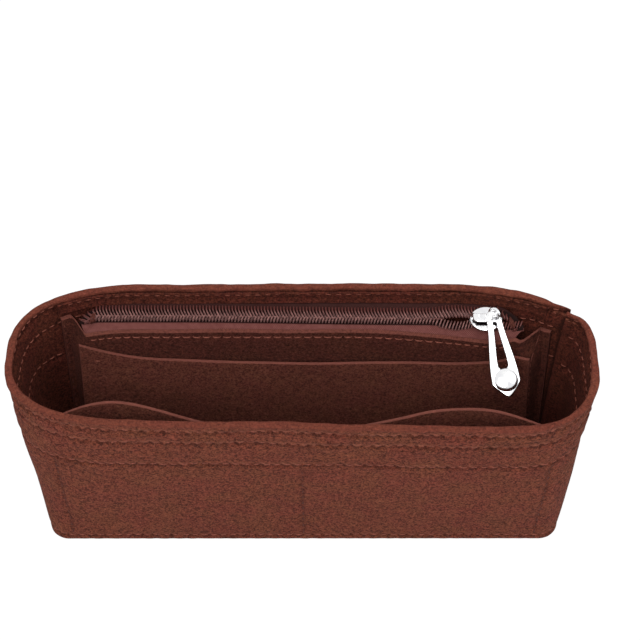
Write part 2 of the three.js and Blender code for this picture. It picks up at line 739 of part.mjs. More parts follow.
const pullSolid = pullPlate().add(pullDome()).add(pullEye());
const pull = addPiece("pull_tab", geometryOf(pullSolid), brightMetal);
const slanted = new THREE.Matrix4().makeRotationZ(-pullSlant * degree);
const forward = new THREE.Matrix4().makeRotationZ(Math.PI);
const leaned = new THREE.Matrix4().makeRotationX(pullTilt * degree);
pull.matrixAutoUpdate = false;
const bridgeAxis = new THREE.Vector3(sliderRestX + pullOffsetX, chainMiddleY, bridgeAxisZ);
bridgeAxis.applyMatrix4(zipLean);
pull.matrix
  .makeTranslation(bridgeAxis.x, bridgeAxis.y, bridgeAxis.z)
  .multiply(leaned)
  .multiply(forward)
  .multiply(slanted.invert());

// Sewing thread, each run one continuous strand lying just off the felt
const strandNear = restGap;
const strandFar = restGap + threadThickness;

// A level run round the outside of the wall, on the band's own face, from lap to lap
function levelRun(name, z) {
  const place = (across, up, face) => {
    const lastStation = outlineAt(z).around + lapPlaces(z).first - threadEndGap;
    const stations = bandStations(z).filter((station) => station < lastStation);
    const distance = stations[Math.round(across * (stations.length - 1))];
    const height = z + (up - 0.5) * threadWidth;
    const depth = bandShift(height, distance) - (face ? strandFar : strandNear);
    return wallPoint(height, distance, depth);
  };
  addPiece(name, sheet(4 * (quarterShares.length - 1) - 1, 1, place), thread);
}
rimRowsBelowRim.forEach((below, row) => levelRun("rim_stitch_row_" + (row + 1), wallHeight - below));
levelRun("base_stitch_row", baseRowHeight);

// An upright run at a place along a wall, on a face at a given depth, towards the outside or the inside
function uprightRun(name, low, high, distanceOf, depthOf, inwards) {
  const place = (across, up, face) => {
    const z = mix(low, high, up);
    const off = inwards * (face ? strandFar : strandNear);
    return wallPoint(z, distanceOf(z) + (across - 0.5) * threadWidth, depthOf(z) + off);
  };
  addPiece(name, sheet(1, uprightLevels, place), thread);
}
const seamLow = baseRowHeight + threadWidth + seamTopGap;
const seamHigh = wallHeight - Math.max(...rimRowsBelowRim) - threadWidth - seamTopGap;
const outside = () => 0;
uprightRun("front_centre_stitch", seamLow, seamHigh, (z) => onFront(z, 0), outside, -1);
const pocketSeam = pocketHalfLength - threadEndGap;
uprightRun("front_left_stitch", seamLow, seamHigh, (z) => onFront(z, -pocketSeam), outside, -1);
uprightRun("front_right_stitch", seamLow, seamHigh, (z) => onFront(z, pocketSeam), outside, -1);
const lapSeam = (z) => lapPlaces(z).first + threadEndGap;
uprightRun("lap_stitch", seamLow, seamHigh, lapSeam, (z) => bandShift(z, lapSeam(z)), -1);

// Seams through the pouch's end flanges, seen inside
for (const [name, sign] of [["pouch_left_stitch", -1], ["pouch_right_stitch", 1]]) {
  const side = sign * (pouchHalfLength - pouchInset(sign) + pouchFlange / 2);
  const face = (z) => pouchFace(z, side) + pouchFelt;
  uprightRun(name, panelFoot + seamTopGap, pouchTop - seamTopGap, (z) => onRear(z, side), face, 1);
}

// The row that holds the front tape, along the top of the pouch's face
const pouchRowZ = pouchTop - pouchRowBelowTop;
const pouchRow = sheet(threadColumns, 1, (across, up, face) => {
  const z = pouchRowZ + (up - 0.5) * threadWidth;
  const side = mix(-pouchFlat, pouchFlat, across);
  const depth = pouchFace(z, side) + pouchFelt + (face ? strandFar : strandNear);
  return wallPoint(z, onRear(z, side), depth);
});
addPiece("pouch_top_stitch", pouchRow, thread);

// Thread tacks at both top corners of the card pocket
for (const [name, sign] of [["card_tack_left", -1], ["card_tack_right", 1]]) {
  const tack = sheet(2, 1, (across, up, face) => {
    const side = sign * (cardHalfLength - tackLength + across * (tackLength - threadEndGap));
    const z = cardTop - threadEndGap - up * threadWidth;
    const depth = cardFace(z, side) + thinFelt + (face ? strandFar : strandNear);
    return wallPoint(z, onRear(z, side), depth);
  });
  addPiece(name, tack, thread);
}

export default insert;
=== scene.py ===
import math
import bpy
import numpy as np
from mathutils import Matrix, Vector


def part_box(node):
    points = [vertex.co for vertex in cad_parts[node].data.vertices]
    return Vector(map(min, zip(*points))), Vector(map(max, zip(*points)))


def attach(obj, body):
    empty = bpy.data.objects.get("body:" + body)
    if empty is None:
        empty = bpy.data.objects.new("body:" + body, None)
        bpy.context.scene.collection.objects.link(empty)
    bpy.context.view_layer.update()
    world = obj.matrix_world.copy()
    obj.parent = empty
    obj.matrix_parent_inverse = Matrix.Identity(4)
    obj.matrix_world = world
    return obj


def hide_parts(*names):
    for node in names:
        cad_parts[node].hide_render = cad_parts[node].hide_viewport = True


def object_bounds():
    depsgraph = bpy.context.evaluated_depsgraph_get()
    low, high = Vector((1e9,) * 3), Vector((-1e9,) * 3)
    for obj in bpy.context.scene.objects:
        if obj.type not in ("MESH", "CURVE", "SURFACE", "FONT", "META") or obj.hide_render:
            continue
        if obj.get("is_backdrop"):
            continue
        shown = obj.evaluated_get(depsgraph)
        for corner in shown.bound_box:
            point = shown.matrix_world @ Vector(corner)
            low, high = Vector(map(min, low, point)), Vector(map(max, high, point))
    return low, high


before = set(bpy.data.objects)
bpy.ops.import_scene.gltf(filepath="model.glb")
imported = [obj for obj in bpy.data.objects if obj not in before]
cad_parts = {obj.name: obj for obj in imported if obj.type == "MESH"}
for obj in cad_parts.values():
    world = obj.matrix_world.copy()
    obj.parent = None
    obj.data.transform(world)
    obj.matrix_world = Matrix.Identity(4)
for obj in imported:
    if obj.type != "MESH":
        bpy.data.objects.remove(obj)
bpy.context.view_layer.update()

mm = 0.001  # every length below is in millimetres until its mesh is made

# Felt box, with the sizes of the CAD part
box = {
    "height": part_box("wall_band")[1][2] / mm,
    "rimLength": 244.0,
    "rimDepth": 75.0,
    "baseLength": 233.0,
    "baseDepth": 44.0,
    "baseCorner": 9.0,
    "frontLeftSweep": 58.0,
    "frontRightSweep": 44.0,
    "rearLeftSweep": 57.0,
    "rearRightSweep": 68.0,
    "endFlat": 2.8,
    "basePower": 2.0,
    "rimPower": 2.5,
    "frontSkew": 0.08,
    "felt": 3.0,
    "restGap": 0.35,
    "lapStart": 0.813,
    "lapEnd": 0.817,
    "lapEase": 9.0,
    "lapIn": 1.3,
    "lapNear": 0.9,
    "firstReach": 18.0,
    "firstThin": 0.6,
    "lastReach": 16.0,
    "lastThin": 0.4,
    "pressed": 0.45,
    "pressedFrom": 99.0,
    "pressedRise": 7.0,
    "pressedTo": 107.4,
    "pressedFall": 1.6,
    "spareHeight": 4.0,
    "flangeHeight": 7.0,
    "flangeFelt": 2.5,
}


def mix(low, high, share):
    return low + (high - low) * share


def smooth(value):  # 0 below 0, 1 above 1 and an S curve between
    t = np.clip(value, 0.0, 1.0)
    return t * t * (3.0 - 2.0 * t)


def hump(value, reach):  # 1 at 0, falling to 0 at plus or minus reach
    return smooth(1.0 - np.abs(value) / reach)


def bell(value):  # 1 at 0, falling off as exp(-value^2)
    return np.exp(-(value**2))


waves = {"count": 8, "reach": 3.5}  # the sum of so many waves seldom leaves plus or minus reach


# Sum of plane waves with seeded directions and phases, each about size long: from about -1 to 1
def unevenness(a, b, size, seed):
    random = np.random.default_rng(seed)
    total = 0.0
    for _ in range(waves["count"]):
        angle, phase = random.uniform(0, 2 * math.pi), random.uniform(0, 2 * math.pi)
        stretch = random.uniform(0.7, 1.5)
        along = a * math.cos(angle) + b * math.sin(angle)
        total = total + np.sin(2 * math.pi * along / (size * stretch) + phase)
    return total / waves["reach"]


# Plan outlines at every millimetre of height. Each quarter is straight, then a corner curve
# x = a - s + s sin(t)^(2/p), y = b - e + e cos(t)^(2/p), then straight, and the front swells to the right.
def makeOutlines(samples=3600, steps=120):
    z = np.arange(0.0, box["height"] + box["spareHeight"])[:, None]
    share = z / box["height"]
    halfLength = mix(box["baseLength"], box["rimLength"], share) / 2
    halfDepth = mix(box["baseDepth"], box["rimDepth"], share) / 2
    power = mix(box["basePower"], box["rimPower"], share)
    endSweep = mix(box["baseCorner"], box["rimDepth"] / 2 - box["endFlat"], share)
    turn = np.linspace(0.0, math.pi / 2, steps)[None, :]
    corners = [(1, 1, "rearRight"), (1, -1, "frontRight"), (-1, -1, "frontLeft"), (-1, 1, "rearLeft")]
    parts = []
    for signX, signY, corner in corners:
        sweep = mix(box["baseCorner"], box[corner + "Sweep"], share)
        x = np.hstack([0 * z, halfLength - sweep + sweep * np.sin(turn) ** (2 / power), halfLength])
        bend = endSweep * np.abs(np.cos(turn)) ** (2 / power)
        y = np.hstack([halfDepth, halfDepth - endSweep + bend, 0 * z])
        if signX * signY < 0:
            x, y = x[:, ::-1], y[:, ::-1]
        if signY < 0:
            y = y * (1 + box["frontSkew"] * share * signX * x / halfLength)
        parts.append(np.stack([signX * x, signY * y], -1))
    path = np.concatenate(parts, 1)
    spans = np.linalg.norm(np.diff(path, axis=1), axis=2)
    lengths = np.hstack([0 * z, np.cumsum(spans, 1)])
    around = lengths[:, -1]
    quarter = path.shape[1] // 4
    ends = lengths[:, [quarter - 1, 2 * quarter - 1, 3 * quarter - 1]]
    shares = np.arange(samples) / samples
    place = np.empty((len(z), samples, 2))
    for level in range(len(z)):
        for axis in (0, 1):
            place[level, :, axis] = np.interp(shares * around[level], lengths[level], path[level, :, axis])
    run = np.roll(place, -3, 1) - np.roll(place, 3, 1)
    run /= np.linalg.norm(run, axis=2, keepdims=True)
    return {"place": place, "run": run, "around": around, "ends": ends, "samples": samples}


outlines = makeOutlines()
levelNumbers = np.arange(len(outlines["around"]))


def aroundAt(z):
    return np.interp(z, levelNumbers, outlines["around"])


def quarterEnd(z, number):  # way from the middle of the rear to the right end, the front and the left end
    return np.interp(z, levelNumbers, outlines["ends"][:, number])


# Reads a table of outlines between its levels and samples, in straight lines both ways
def readOutline(table, z, distance):
    level = np.clip(z, 0, len(levelNumbers) - 1.001)
    low = np.floor(level).astype(int)
    rise = (level - low)[..., None]
    step = (distance / aroundAt(z) % 1.0) * outlines["samples"]
    left = np.floor(step).astype(int)
    over = (step - left)[..., None]
    left = left % outlines["samples"]
    right = (left + 1) % outlines["samples"]
    lower = mix(table[low, left], table[low, right], over)
    upper = mix(table[low + 1, left], table[low + 1, right], over)
    return mix(lower, upper, rise)


# The point at a height, a way along the outline and a depth inwards from the wall's outer face
def wallPoint(z, distance, depth):
    z, distance, depth = np.broadcast_arrays(np.asarray(z, float), distance, depth)
    place = readOutline(outlines["place"], z, distance)
    run = readOutline(outlines["run"], z, distance)
    run = run / np.linalg.norm(run, axis=-1, keepdims=True)
    return np.stack([place[..., 0] + run[..., 1] * depth, place[..., 1] - run[..., 0] * depth, z], -1)


def onFront(z, side):
    return quarterEnd(z, 1) - side


def onRear(z, side):
    return aroundAt(z) + side


lapShift = (box["felt"] + box["restGap"]) / 2


def lapPlaces(z):
    return box["lapStart"] * quarterEnd(z, 0), aroundAt(z) + box["lapEnd"] * quarterEnd(z, 0)


def bandShift(z, distance):  # the band's first end goes in and its last end goes out, about half a felt each
    first, last = lapPlaces(z)
    ease = box["lapEase"]
    goesIn = box["lapIn"] * smooth((first - distance) / ease + 1)
    return lapShift * (goesIn - smooth((distance - last) / ease + 1))


def pressed(z):  # how much thinner the band is just below its rim, where it is sewn
    rises = smooth((z - box["pressedFrom"]) / box["pressedRise"])
    return box["pressed"] * rises * (1 - smooth((z - box["pressedTo"]) / box["pressedFall"]))


def rearFace(z, side):
    return box["felt"] + bandShift(z, onRear(z, side)) - pressed(z)


# Mesh making
def gridFaces(rows, columns):  # quads of a grid whose last column meets its first, numbered row by row
    row = np.arange(rows - 1)[:, None] * columns
    column = np.arange(columns)[None, :]
    ahead = (column + 1) % columns
    above = row + columns
    return np.stack([row + column, row + ahead, above + ahead, above + column], -1).reshape(-1, 4)


def turnedOut(points, faces):  # True if a closed mesh's faces already point outwards, by its signed volume
    a, b, c = points[faces[:, 0]], points[faces[:, 1]], points[faces[:, 2]]
    volume = np.einsum("ij,ij->", a, np.cross(b, c))
    if faces.shape[1] == 4:
        volume += np.einsum("ij,ij->", a, np.cross(c, points[faces[:, 3]]))
    return volume > 0


def addMesh(name, points, faces, extraFaces=(), attributes=None):
    mesh = bpy.data.meshes.new(name)
    faceList = np.asarray(faces).tolist() + [list(face) for face in extraFaces]
    mesh.from_pydata((np.asarray(points) * mm).tolist(), [], faceList)
    for label, values in (attributes or {}).items():
        attribute = mesh.attributes.new(label, "FLOAT", "POINT")
        attribute.data.foreach_set("value", np.asarray(values, np.float32).ravel())
    mesh.update()
    mesh.polygons.foreach_set("use_smooth", np.ones(len(mesh.polygons), bool))
    piece = bpy.data.objects.new(name, mesh)
    bpy.context.scene.collection.objects.link(piece)
    return piece


# Cross-section of a sheet as a closed loop that starts in the middle of its foot: up the first face, over
# the top edge, down the other face and back under. Both edges are half rounds with squared shoulders.
def feltLoop(levels, thickness, rounding, steps=4, widest=78, square=0.6):
    half = thickness / 2
    angles = np.radians(np.linspace(widest, 0, steps, endpoint=False))
    across = half - half * np.cos(angles) ** square
    down = rounding * np.sin(angles) ** square
    z = np.concatenate([levels[0] - down, levels, (levels[-1] + down)[::-1]])
    depth = np.concatenate([across, 0 * levels, across[::-1]])
    edge = np.concatenate([np.ones(steps), np.zeros(len(levels)), np.ones(steps)])
    face = np.concatenate([np.cos(angles), np.ones(len(levels)), np.cos(angles)[::-1]])
    return {
        "z": np.concatenate([z, z[::-1]]),
        "depth": np.concatenate([depth, thickness - depth[::-1]]),
        "edge": np.concatenate([edge, edge[::-1]]),
        "face": np.concatenate([face, -face[::-1]]),
    }


# A closed sheet from points (columns, loop): quads along it and a row of quads across each end
def addSheet(name, points, edge, inside=None, shade=None):
    columns, loop = points.shape[:2]
    flat = points.reshape(-1, 3)
    quads = gridFaces(columns, loop)
    half = np.arange(loop // 2 - 1)
    cap = np.stack([half, half + 1, loop - 2 - half, loop - 1 - half], -1)
    faces = np.concatenate([quads, cap[:, ::-1], cap + (columns - 1) * loop])
    if not turnedOut(flat, faces):
        faces = faces[:, ::-1]
    edges = np.broadcast_to(edge, (columns, loop)).copy()
    edges[[0, -1]] = 1.0
    attributes = {"cutEdgeAndLight": edges}
    if inside is not None:
        attributes["inside"] = np.broadcast_to(inside, (columns, loop))
    if shade is not None:
        attributes["crease"] = np.broadcast_to(shade, (columns, loop))
    return addMesh(name, flat, faces, attributes=attributes)


def levelsBetween(low, high, step, rows=(), fineStep=1.0, reach=3.0):
    coarse = np.linspace(low, high, max(2, int(round((high - low) / step)) + 1))
    keep = coarse
    fine = []
    for row in rows:
        keep = keep[np.abs(keep - row) > reach]
        near = np.arange(row - reach, row + reach + fineStep / 2, fineStep)
        fine.append(near[(near > low) & (near < high)])
    return np.unique(np.round(np.concatenate([keep, [low, high], *fine]), 3))


# Faces of equal tubes whose points follow each other tube by tube, with a cap at both ends of each
def tubeFaces(tubes):
    count, rings, sides = tubes.shape[:3]
    one, each = gridFaces(rings, sides), rings * sides
    ends = np.stack([np.arange(sides)[::-1], np.arange(each - sides, each)])
    shift = np.arange(count)[:, None, None] * each
    faces, caps = (one[None] + shift).reshape(-1, 4), (ends[None] + shift).reshape(-1, sides)
    middle = tubes[count // 2].reshape(-1, 3)
    if not turnedOut(middle - middle.mean(0), one):
        faces, caps = faces[:, ::-1], caps[:, ::-1]
    return faces, caps.tolist()


stitch = {"archPower": 0.6, "sinkPower": 6, "taper": 0.45, "taperPower": 4}


# Rows of stitches: each is a short tube that arches from a to b, with normal n away from the felt. Its arch
# is rise sin(pi t)^p less sink |2t - 1|^q, and it is thinner towards both ends.
def addStitches(name, a, b, n, width=0.54, thickness=0.46, rise=0.2, sink=0.35, rings=6, sides=6):
    t = np.linspace(0.0, 1.0, rings)
    along = (b - a) / np.linalg.norm(b - a, axis=1, keepdims=True)
    across = np.cross(along, n)
    towardsEnd = np.abs(2 * t - 1)
    arch = rise * np.sin(math.pi * t) ** stitch["archPower"] - sink * (towardsEnd ** stitch["sinkPower"])
    taper = 1 - stitch["taper"] * towardsEnd ** stitch["taperPower"]
    centre = a[:, None] + (b - a)[:, None] * t[None, :, None] + n[:, None] * arch[None, :, None]
    angle = np.arange(sides) * 2 * math.pi / sides
    wide, tall = np.cos(angle) * width / 2, np.sin(angle) * thickness / 2
    ring = across[:, None] * wide[None, :, None] + n[:, None] * tall[None, :, None]
    points = centre[:, :, None] + ring[:, None] * taper[None, :, None, None]
    return addMesh(name, points.reshape(-1, 3), *tubeFaces(points))


# Shader maths: a wire is one output of a node, and arithmetic on it adds Math nodes
class Wire:
    def __init__(self, shader, socket):
        self.shader, self.socket = shader, socket

    def beside(self, output):  # another output of the same node
        return Wire(self.shader, self.socket.node.outputs[output])

    def math(self, operation, first, second):
        return self.shader.node("ShaderNodeMath", {"operation": operation}, {0: first, 1: second})

    def sine(self):
        return self.shader.node("ShaderNodeMath", {"operation": "SINE"}, {0: self})

    def __add__(self, other):
        return self.math("ADD", self, other)

    def __sub__(self, other):
        return self.math("SUBTRACT", self, other)

    def __rsub__(self, other):
        return self.math("SUBTRACT", other, self)

    def __mul__(self, other):
        return self.math("MULTIPLY", self, other)

    __radd__ = __add__
    __rmul__ = __mul__


class Shader:
    def __init__(self, owner, surface="Principled BSDF"):  # the nodes of a new material or world
        owner.use_nodes = True
        self.owner, self.tree = owner, owner.node_tree
        self.surface = self.tree.nodes[surface]

    # Adds a node: its settings first, then the values or wires of its inputs, and returns one output
    def node(self, kind, settings=None, inputs=None, output=0):
        node = self.tree.nodes.new(kind)
        for key, value in (settings or {}).items():
            setattr(node, key, value)
        for key, value in (inputs or {}).items():
            if isinstance(value, Wire):
                self.tree.links.new(value.socket, node.inputs[key])
            else:
                node.inputs[key].default_value = value
        return Wire(self, node.outputs[output])

    def set(self, **inputs):  # fixed values of the surface node, by name with underscores as spaces
        for key, value in inputs.items():
            self.surface.inputs[key.replace("_", " ")].default_value = value

    def feed(self, name, wire):
        self.tree.links.new(wire.socket, self.surface.inputs[name])

    def place(self):
        return self.node("ShaderNodeTexCoord", output="Object")

    def attribute(self, name):
        return self.node("ShaderNodeAttribute", {"attribute_name": name}, output="Fac")

    def bump(self, strength, distance, height):
        values = {"Strength": strength, "Distance": distance, "Height": height}
        self.feed("Normal", self.node("ShaderNodeBump", None, values))

    def mixColour(self, share, first, second, blend="MIX"):
        first, second = (part if isinstance(part, Wire) else (*part, 1) for part in (first, second))
        values = {0: share, 6: first, 7: second}
        return self.node("ShaderNodeMix", {"data_type": "RGBA", "blend_type": blend}, values, output=2)

    def spread(self, wire, low, high):  # 0 at low and 1 at high, held outside
        values = {"Value": wire, "From Min": low, "From Max": high}
        return self.node("ShaderNodeMapRange", {"clamp": True}, values)

    def noise(self, place, scale, detail=3.0, roughness=0.6, distortion=0.0):
        values = {"Vector": place, "Scale": scale, "Detail": detail}
        values.update({"Roughness": roughness, "Distortion": distortion})
        return self.node("ShaderNodeTexNoise", {"noise_dimensions": "3D"}, values)

    def stretched(self, place, turn, stretch):
        values = {"Vector": place, "Rotation": turn, "Scale": stretch}
        return self.node("ShaderNodeMapping", {"vector_type": "POINT"}, values)


def linear(red, green, blue):  # a colour as it looks on a screen, 0 to 255, as light
    shares = np.array([red, green, blue]) / 255
    light = np.where(shares <= 0.04045, shares / 12.92, ((shares + 0.055) / 1.055) ** 2.4)
    return tuple(float(value) for value in light)


# Each noise has a scale, a detail, a roughness and perhaps a distortion, and each band is the pair of values
# that are spread to 0 and 1
feltNoise = {
    "drift": (75.0, 3.0, 0.6),
    "driftBand": (0.36, 0.64),
    "mottle": (620.0, 3.0, 0.75),
    "mottleBand": (0.41, 0.61),
    "mottleShare": 0.42,
    "mottleHeight": 0.9,
    "grain": (1150.0, 2.0, 0.75),
    "grainBand": (0.42, 0.6),
    "grainShare": 0.58,
    "grainHeight": 0.6,
    "strand": (1.0, 2.0, 0.5, 0.8),
    "strandBand": (0.52, 0.74),
    "strandTurns": ((0.2, 0.4), (1.2, 3.1), (2.3, 5.7)),
    "strandStretch": (800.0, 1700.0, 1700.0),
    "strandHeight": 0.5,
    "fray": 0.9,
    "frayBand": (0.35, 0.85),
    "creaseLight": 0.8,
    "bump": (0.9, 0.0006),
}


# Needle felt: a mottled ground that drifts between a redder and a yellower brown, fine pale and dark fibres
# lying three ways, painted shade inside the box, paler cut edges that are partly frayed fibre and partly
# painted light, and painted shade and light along the sewn creases
def feltMaterial(name, felt):
    shader = Shader(bpy.data.materials.new(name))
    place = shader.place()
    drift, mottle, grain = (shader.noise(place, *feltNoise[kind]) for kind in ("drift", "mottle", "grain"))
    fibres = None
    for turn, seed in feltNoise["strandTurns"]:
        drawn = shader.stretched(place, (turn, seed, turn), feltNoise["strandStretch"])
        strand = shader.spread(shader.noise(drawn, *feltNoise["strand"]), *feltNoise["strandBand"])
        fibres = strand if fibres is None else strand.math("MAXIMUM", fibres, strand)
    ground = shader.mixColour(shader.spread(drift, *feltNoise["driftBand"]), felt["red"], felt["brown"])
    coarse = shader.spread(mottle, *feltNoise["mottleBand"]) * feltNoise["mottleShare"]
    shade = coarse + shader.spread(grain, *feltNoise["grainBand"]) * feltNoise["grainShare"]
    ground = shader.mixColour((1.0 - shade) * felt["speckle"], ground, felt["dark"])
    ground = shader.mixColour(fibres * shade * felt["fibreShare"], ground, felt["fibre"])
    # paler cut edges: partly the felt's frayed fibre, partly painted light on the lit rim band and the lap's
    # first end
    frayedAndLit = shader.attribute("cutEdgeAndLight") + (grain - 0.5) * feltNoise["fray"]
    frayedAndLit = shader.spread(frayedAndLit, *feltNoise["frayBand"])
    ground = shader.mixColour(frayedAndLit * felt["edgeShare"], ground, felt["edge"])
    # painted shade: faces marked as inside the box are darkened by this multiply
    ground = shader.mixColour(shader.attribute("inside"), ground, felt["insideShade"], "MULTIPLY")
    crease = shader.attribute("crease")
    # painted shade down the creases and painted light on the bulges beside them
    ground = shader.mixColour(crease, ground, felt["dark"])
    ground = shader.mixColour(crease * -feltNoise["creaseLight"], ground, felt["fibre"])
    shader.feed("Base Color", ground)
    height = grain * feltNoise["grainHeight"] + fibres * feltNoise["strandHeight"]
    shader.bump(*feltNoise["bump"], height + mottle * feltNoise["mottleHeight"])
    shader.set(Roughness=0.95, Specular_IOR_Level=0.12, Sheen_Weight=felt["sheen"], Sheen_Roughness=0.6)
    shader.set(Sheen_Tint=(*felt["edge"], 1))
    return shader.owner


# The same felt twice: the inner copy is a little darker, as painted shade for the pieces inside the box
feltColours = {
    "outer": {
        "red": linear(134, 65, 51),
        "brown": linear(133, 72, 51),
        "dark": linear(40, 17, 12),
        "fibre": linear(176, 112, 88),
        "edge": linear(110, 56, 45),
        "insideShade": (0.53, 0.46, 0.47),
        "speckle": 0.9,
        "fibreShare": 0.35,
        "edgeShare": 0.5,
        "sheen": 0.1,
    },
    "inner": {
        "red": linear(122, 64, 53),
        "brown": linear(123, 69, 53),
        "dark": linear(38, 17, 13),
        "fibre": linear(150, 96, 80),
        "edge": linear(124, 72, 62),
        "insideShade": (0.57, 0.52, 0.52),
        "speckle": 0.8,
        "fibreShare": 0.45,
        "edgeShare": 0.7,
        "sheen": 0.1,
    },
}
outerFelt = feltMaterial("outerFelt", feltColours["outer"])
innerShadedFelt = feltMaterial("innerShadedFelt", feltColours["inner"])


threadNoise = {
    "twist": (1400.0, 2.0, 0.6),
    "twistBand": (0.3, 0.7),
    "pale": 1.45,
    "dark": 0.6,
    "bump": (0.5, 0.0002),
}


def threadMaterial(name, colour):
    shader = Shader(bpy.data.materials.new(name))
    twist = shader.noise(shader.place(), *threadNoise["twist"])
    pale = tuple(min(1.0, value * threadNoise["pale"]) for value in colour)
    dark = tuple(value * threadNoise["dark"] for value in colour)
    shader.feed("Base Color", shader.mixColour(shader.spread(twist, *threadNoise["twistBand"]), dark, pale))
    shader.bump(*threadNoise["bump"], twist)
    shader.set(Roughness=0.75, Sheen_Weight=0.0, Sheen_Roughness=0.4, Specular_IOR_Level=0.15)
    return shader.owner


thread = threadMaterial("thread", linear(128, 73, 60))
seamThread = threadMaterial("seamThread", linear(82, 42, 34))

tapeWeave = {
    "picks": 7800.0,
    "ribs": 9500.0,
    "cloud": (420.0, 3.0),
    "cloudBand": (0.35, 0.65),
    "cloudShare": 0.6,
    "cloudHeight": 0.4,
    "dark": linear(56, 27, 25),
    "pale": linear(142, 86, 80),
    "stain": linear(92, 48, 44),
    "tapeShade": linear(27, 10, 8),
    "bump": (0.6, 0.0002),
}


# Woven tape: ribs along the zip crossed by fine picks, with painted shade under the coils
def tapeMaterial():
    shader = Shader(bpy.data.materials.new("zipTape"))
    place = shader.place()
    along = shader.node("ShaderNodeSeparateXYZ", None, {0: place})
    picks, ribs = (along * tapeWeave["picks"]).sine(), (along.beside(1) * tapeWeave["ribs"]).sine()
    weave = picks * ribs * 0.5 + 0.5
    cloud = shader.noise(place, *tapeWeave["cloud"])
    colour = shader.mixColour(weave, tapeWeave["dark"], tapeWeave["pale"])
    stained = shader.spread(cloud, *tapeWeave["cloudBand"]) * tapeWeave["cloudShare"]
    colour = shader.mixColour(stained, colour, tapeWeave["stain"])
    shader.feed("Base Color", shader.mixColour(shader.attribute("inside"), colour, tapeWeave["tapeShade"]))
    shader.bump(*tapeWeave["bump"], weave + cloud * tapeWeave["cloudHeight"])
    shader.set(Roughness=0.85, Sheen_Weight=0.0, Specular_IOR_Level=0.15)
    return shader.owner


coilNylon = {
    "cloud": (600.0, 2.0),
    "cloudBand": (0.3, 0.7),
    "dark": linear(68, 36, 34),
    "pale": linear(142, 98, 92),
    "outer": linear(96, 50, 45),
    "bump": (0.2, 0.0001),
}


def coilMaterial():
    shader = Shader(bpy.data.materials.new("zipCoil"))
    cloud = shader.noise(shader.place(), *coilNylon["cloud"])
    shade = shader.spread(cloud, *coilNylon["cloudBand"])
    colour = shader.mixColour(shade, coilNylon["dark"], coilNylon["pale"])
    shader.feed("Base Color", shader.mixColour(shader.attribute("inside"), colour, coilNylon["outer"]))
    shader.bump(*coilNylon["bump"], cloud)
    shader.set(Roughness=0.42, Specular_IOR_Level=0.35)
    return shader.owner


plating = {
    "polish": (260.0, 4.0, 0.6),
    "polishBand": (0.3, 0.7),
    "fine": (2400.0, 2.0, 0.5),
    "dull": (0.80, 0.80, 0.82),
    "bright": (0.93, 0.93, 0.93),
    "plateShade": (0.03, 0.025, 0.025),
    "roughBand": (0.2, 0.8),
    "roughRange": 0.12,
    "roughLeast": 0.1,
    "bump": (0.15, 0.0001),
}


def metalMaterial():
    shader = Shader(bpy.data.materials.new("brightMetal"))
    place = shader.place()
    polish, fine = shader.noise(place, *plating["polish"]), shader.noise(place, *plating["fine"])
    colour = shader.mixColour(
        shader.spread(polish, *plating["polishBand"]), plating["dull"], plating["bright"]
    )
    # painted shade where the slider marks its top plate, under the bridge
    shader.feed("Base Color", shader.mixColour(shader.attribute("inside"), colour, plating["plateShade"]))
    rough = shader.spread(polish, *plating["roughBand"]) * plating["roughRange"]
    shader.feed("Roughness", rough + plating["roughLeast"])
    shader.bump(*plating["bump"], fine)
    shader.set(Metallic=1.0)
    return shader.owner


zipTape, zipCoil, brightMetal = tapeMaterial(), coilMaterial(), metalMaterial()
print("materials made")


def finishPiece(piece, material, body, slotName, nodes, flat=None, held=None, restsOn=(), area=None):
    piece.data.materials.append(material)
    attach(piece, body)
    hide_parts(*nodes)


# Wall band
sewing = {
    "rowsBelowRim": (5.0, 14.7, 33.4),
    "innerLift": 1.9,
    "topInnerLift": 0.7,
    "baseRow": 4.5,
    "pitch": 4.3,
    "firstHole": 1.5,
    "stitchLength": 3.3,
    "tilt": 0.12,
    "dent": 0.9,
    "dentReach": 1.7,
    "holeDepth": 0.3,
    "scallop": 1.1,
    "scallopMean": 0.64,
    "wobble": 0.35,
    "swell": 0.32,
    "swellBelow": 2.6,
    "swellReach": 2.0,
    "pucker": 0.45,
    "puckerFrom": 60.0,
    "puckerRise": 14.0,
    "seamDent": 0.8,
    "seamReach": 1.7,
    "seamHole": 0.25,
    "seamPitch": 5.9,
    "seamClear": 2.1,
    "seamEase": 3.0,
    "pocketSeam": 104.5,
    "pouchSeam": 105.0,
    "pouchEase": 1.2,
    "lapSeam": 2.4,
    "seed": 70,
    "seamShare": 0.72,
}
rowHeights = [box["height"] - below for below in sewing["rowsBelowRim"]] + [sewing["baseRow"]]
seamLow = sewing["baseRow"] + sewing["seamClear"]
seamHigh = box["height"] - sewing["rowsBelowRim"][2] - sewing["seamClear"]
seams = (-sewing["pocketSeam"], 0.0, sewing["pocketSeam"])


def rowHeight(number, distance):  # a sewn row wanders a little up and down
    return rowHeights[number] + sewing["wobble"] * unevenness(distance, 0.0, 34.0, 40 + number)


def inSeam(z):  # 1 along an upright seam, fading out at both its ends
    return smooth((z - seamLow) / sewing["seamEase"]) * smooth((seamHigh - z) / sewing["seamEase"])


def holes(way, pitch, depth):  # 1 at each stitch hole, and less by twice the depth halfway to the next
    return 1 - depth + depth * np.cos(2 * math.pi * way / pitch)


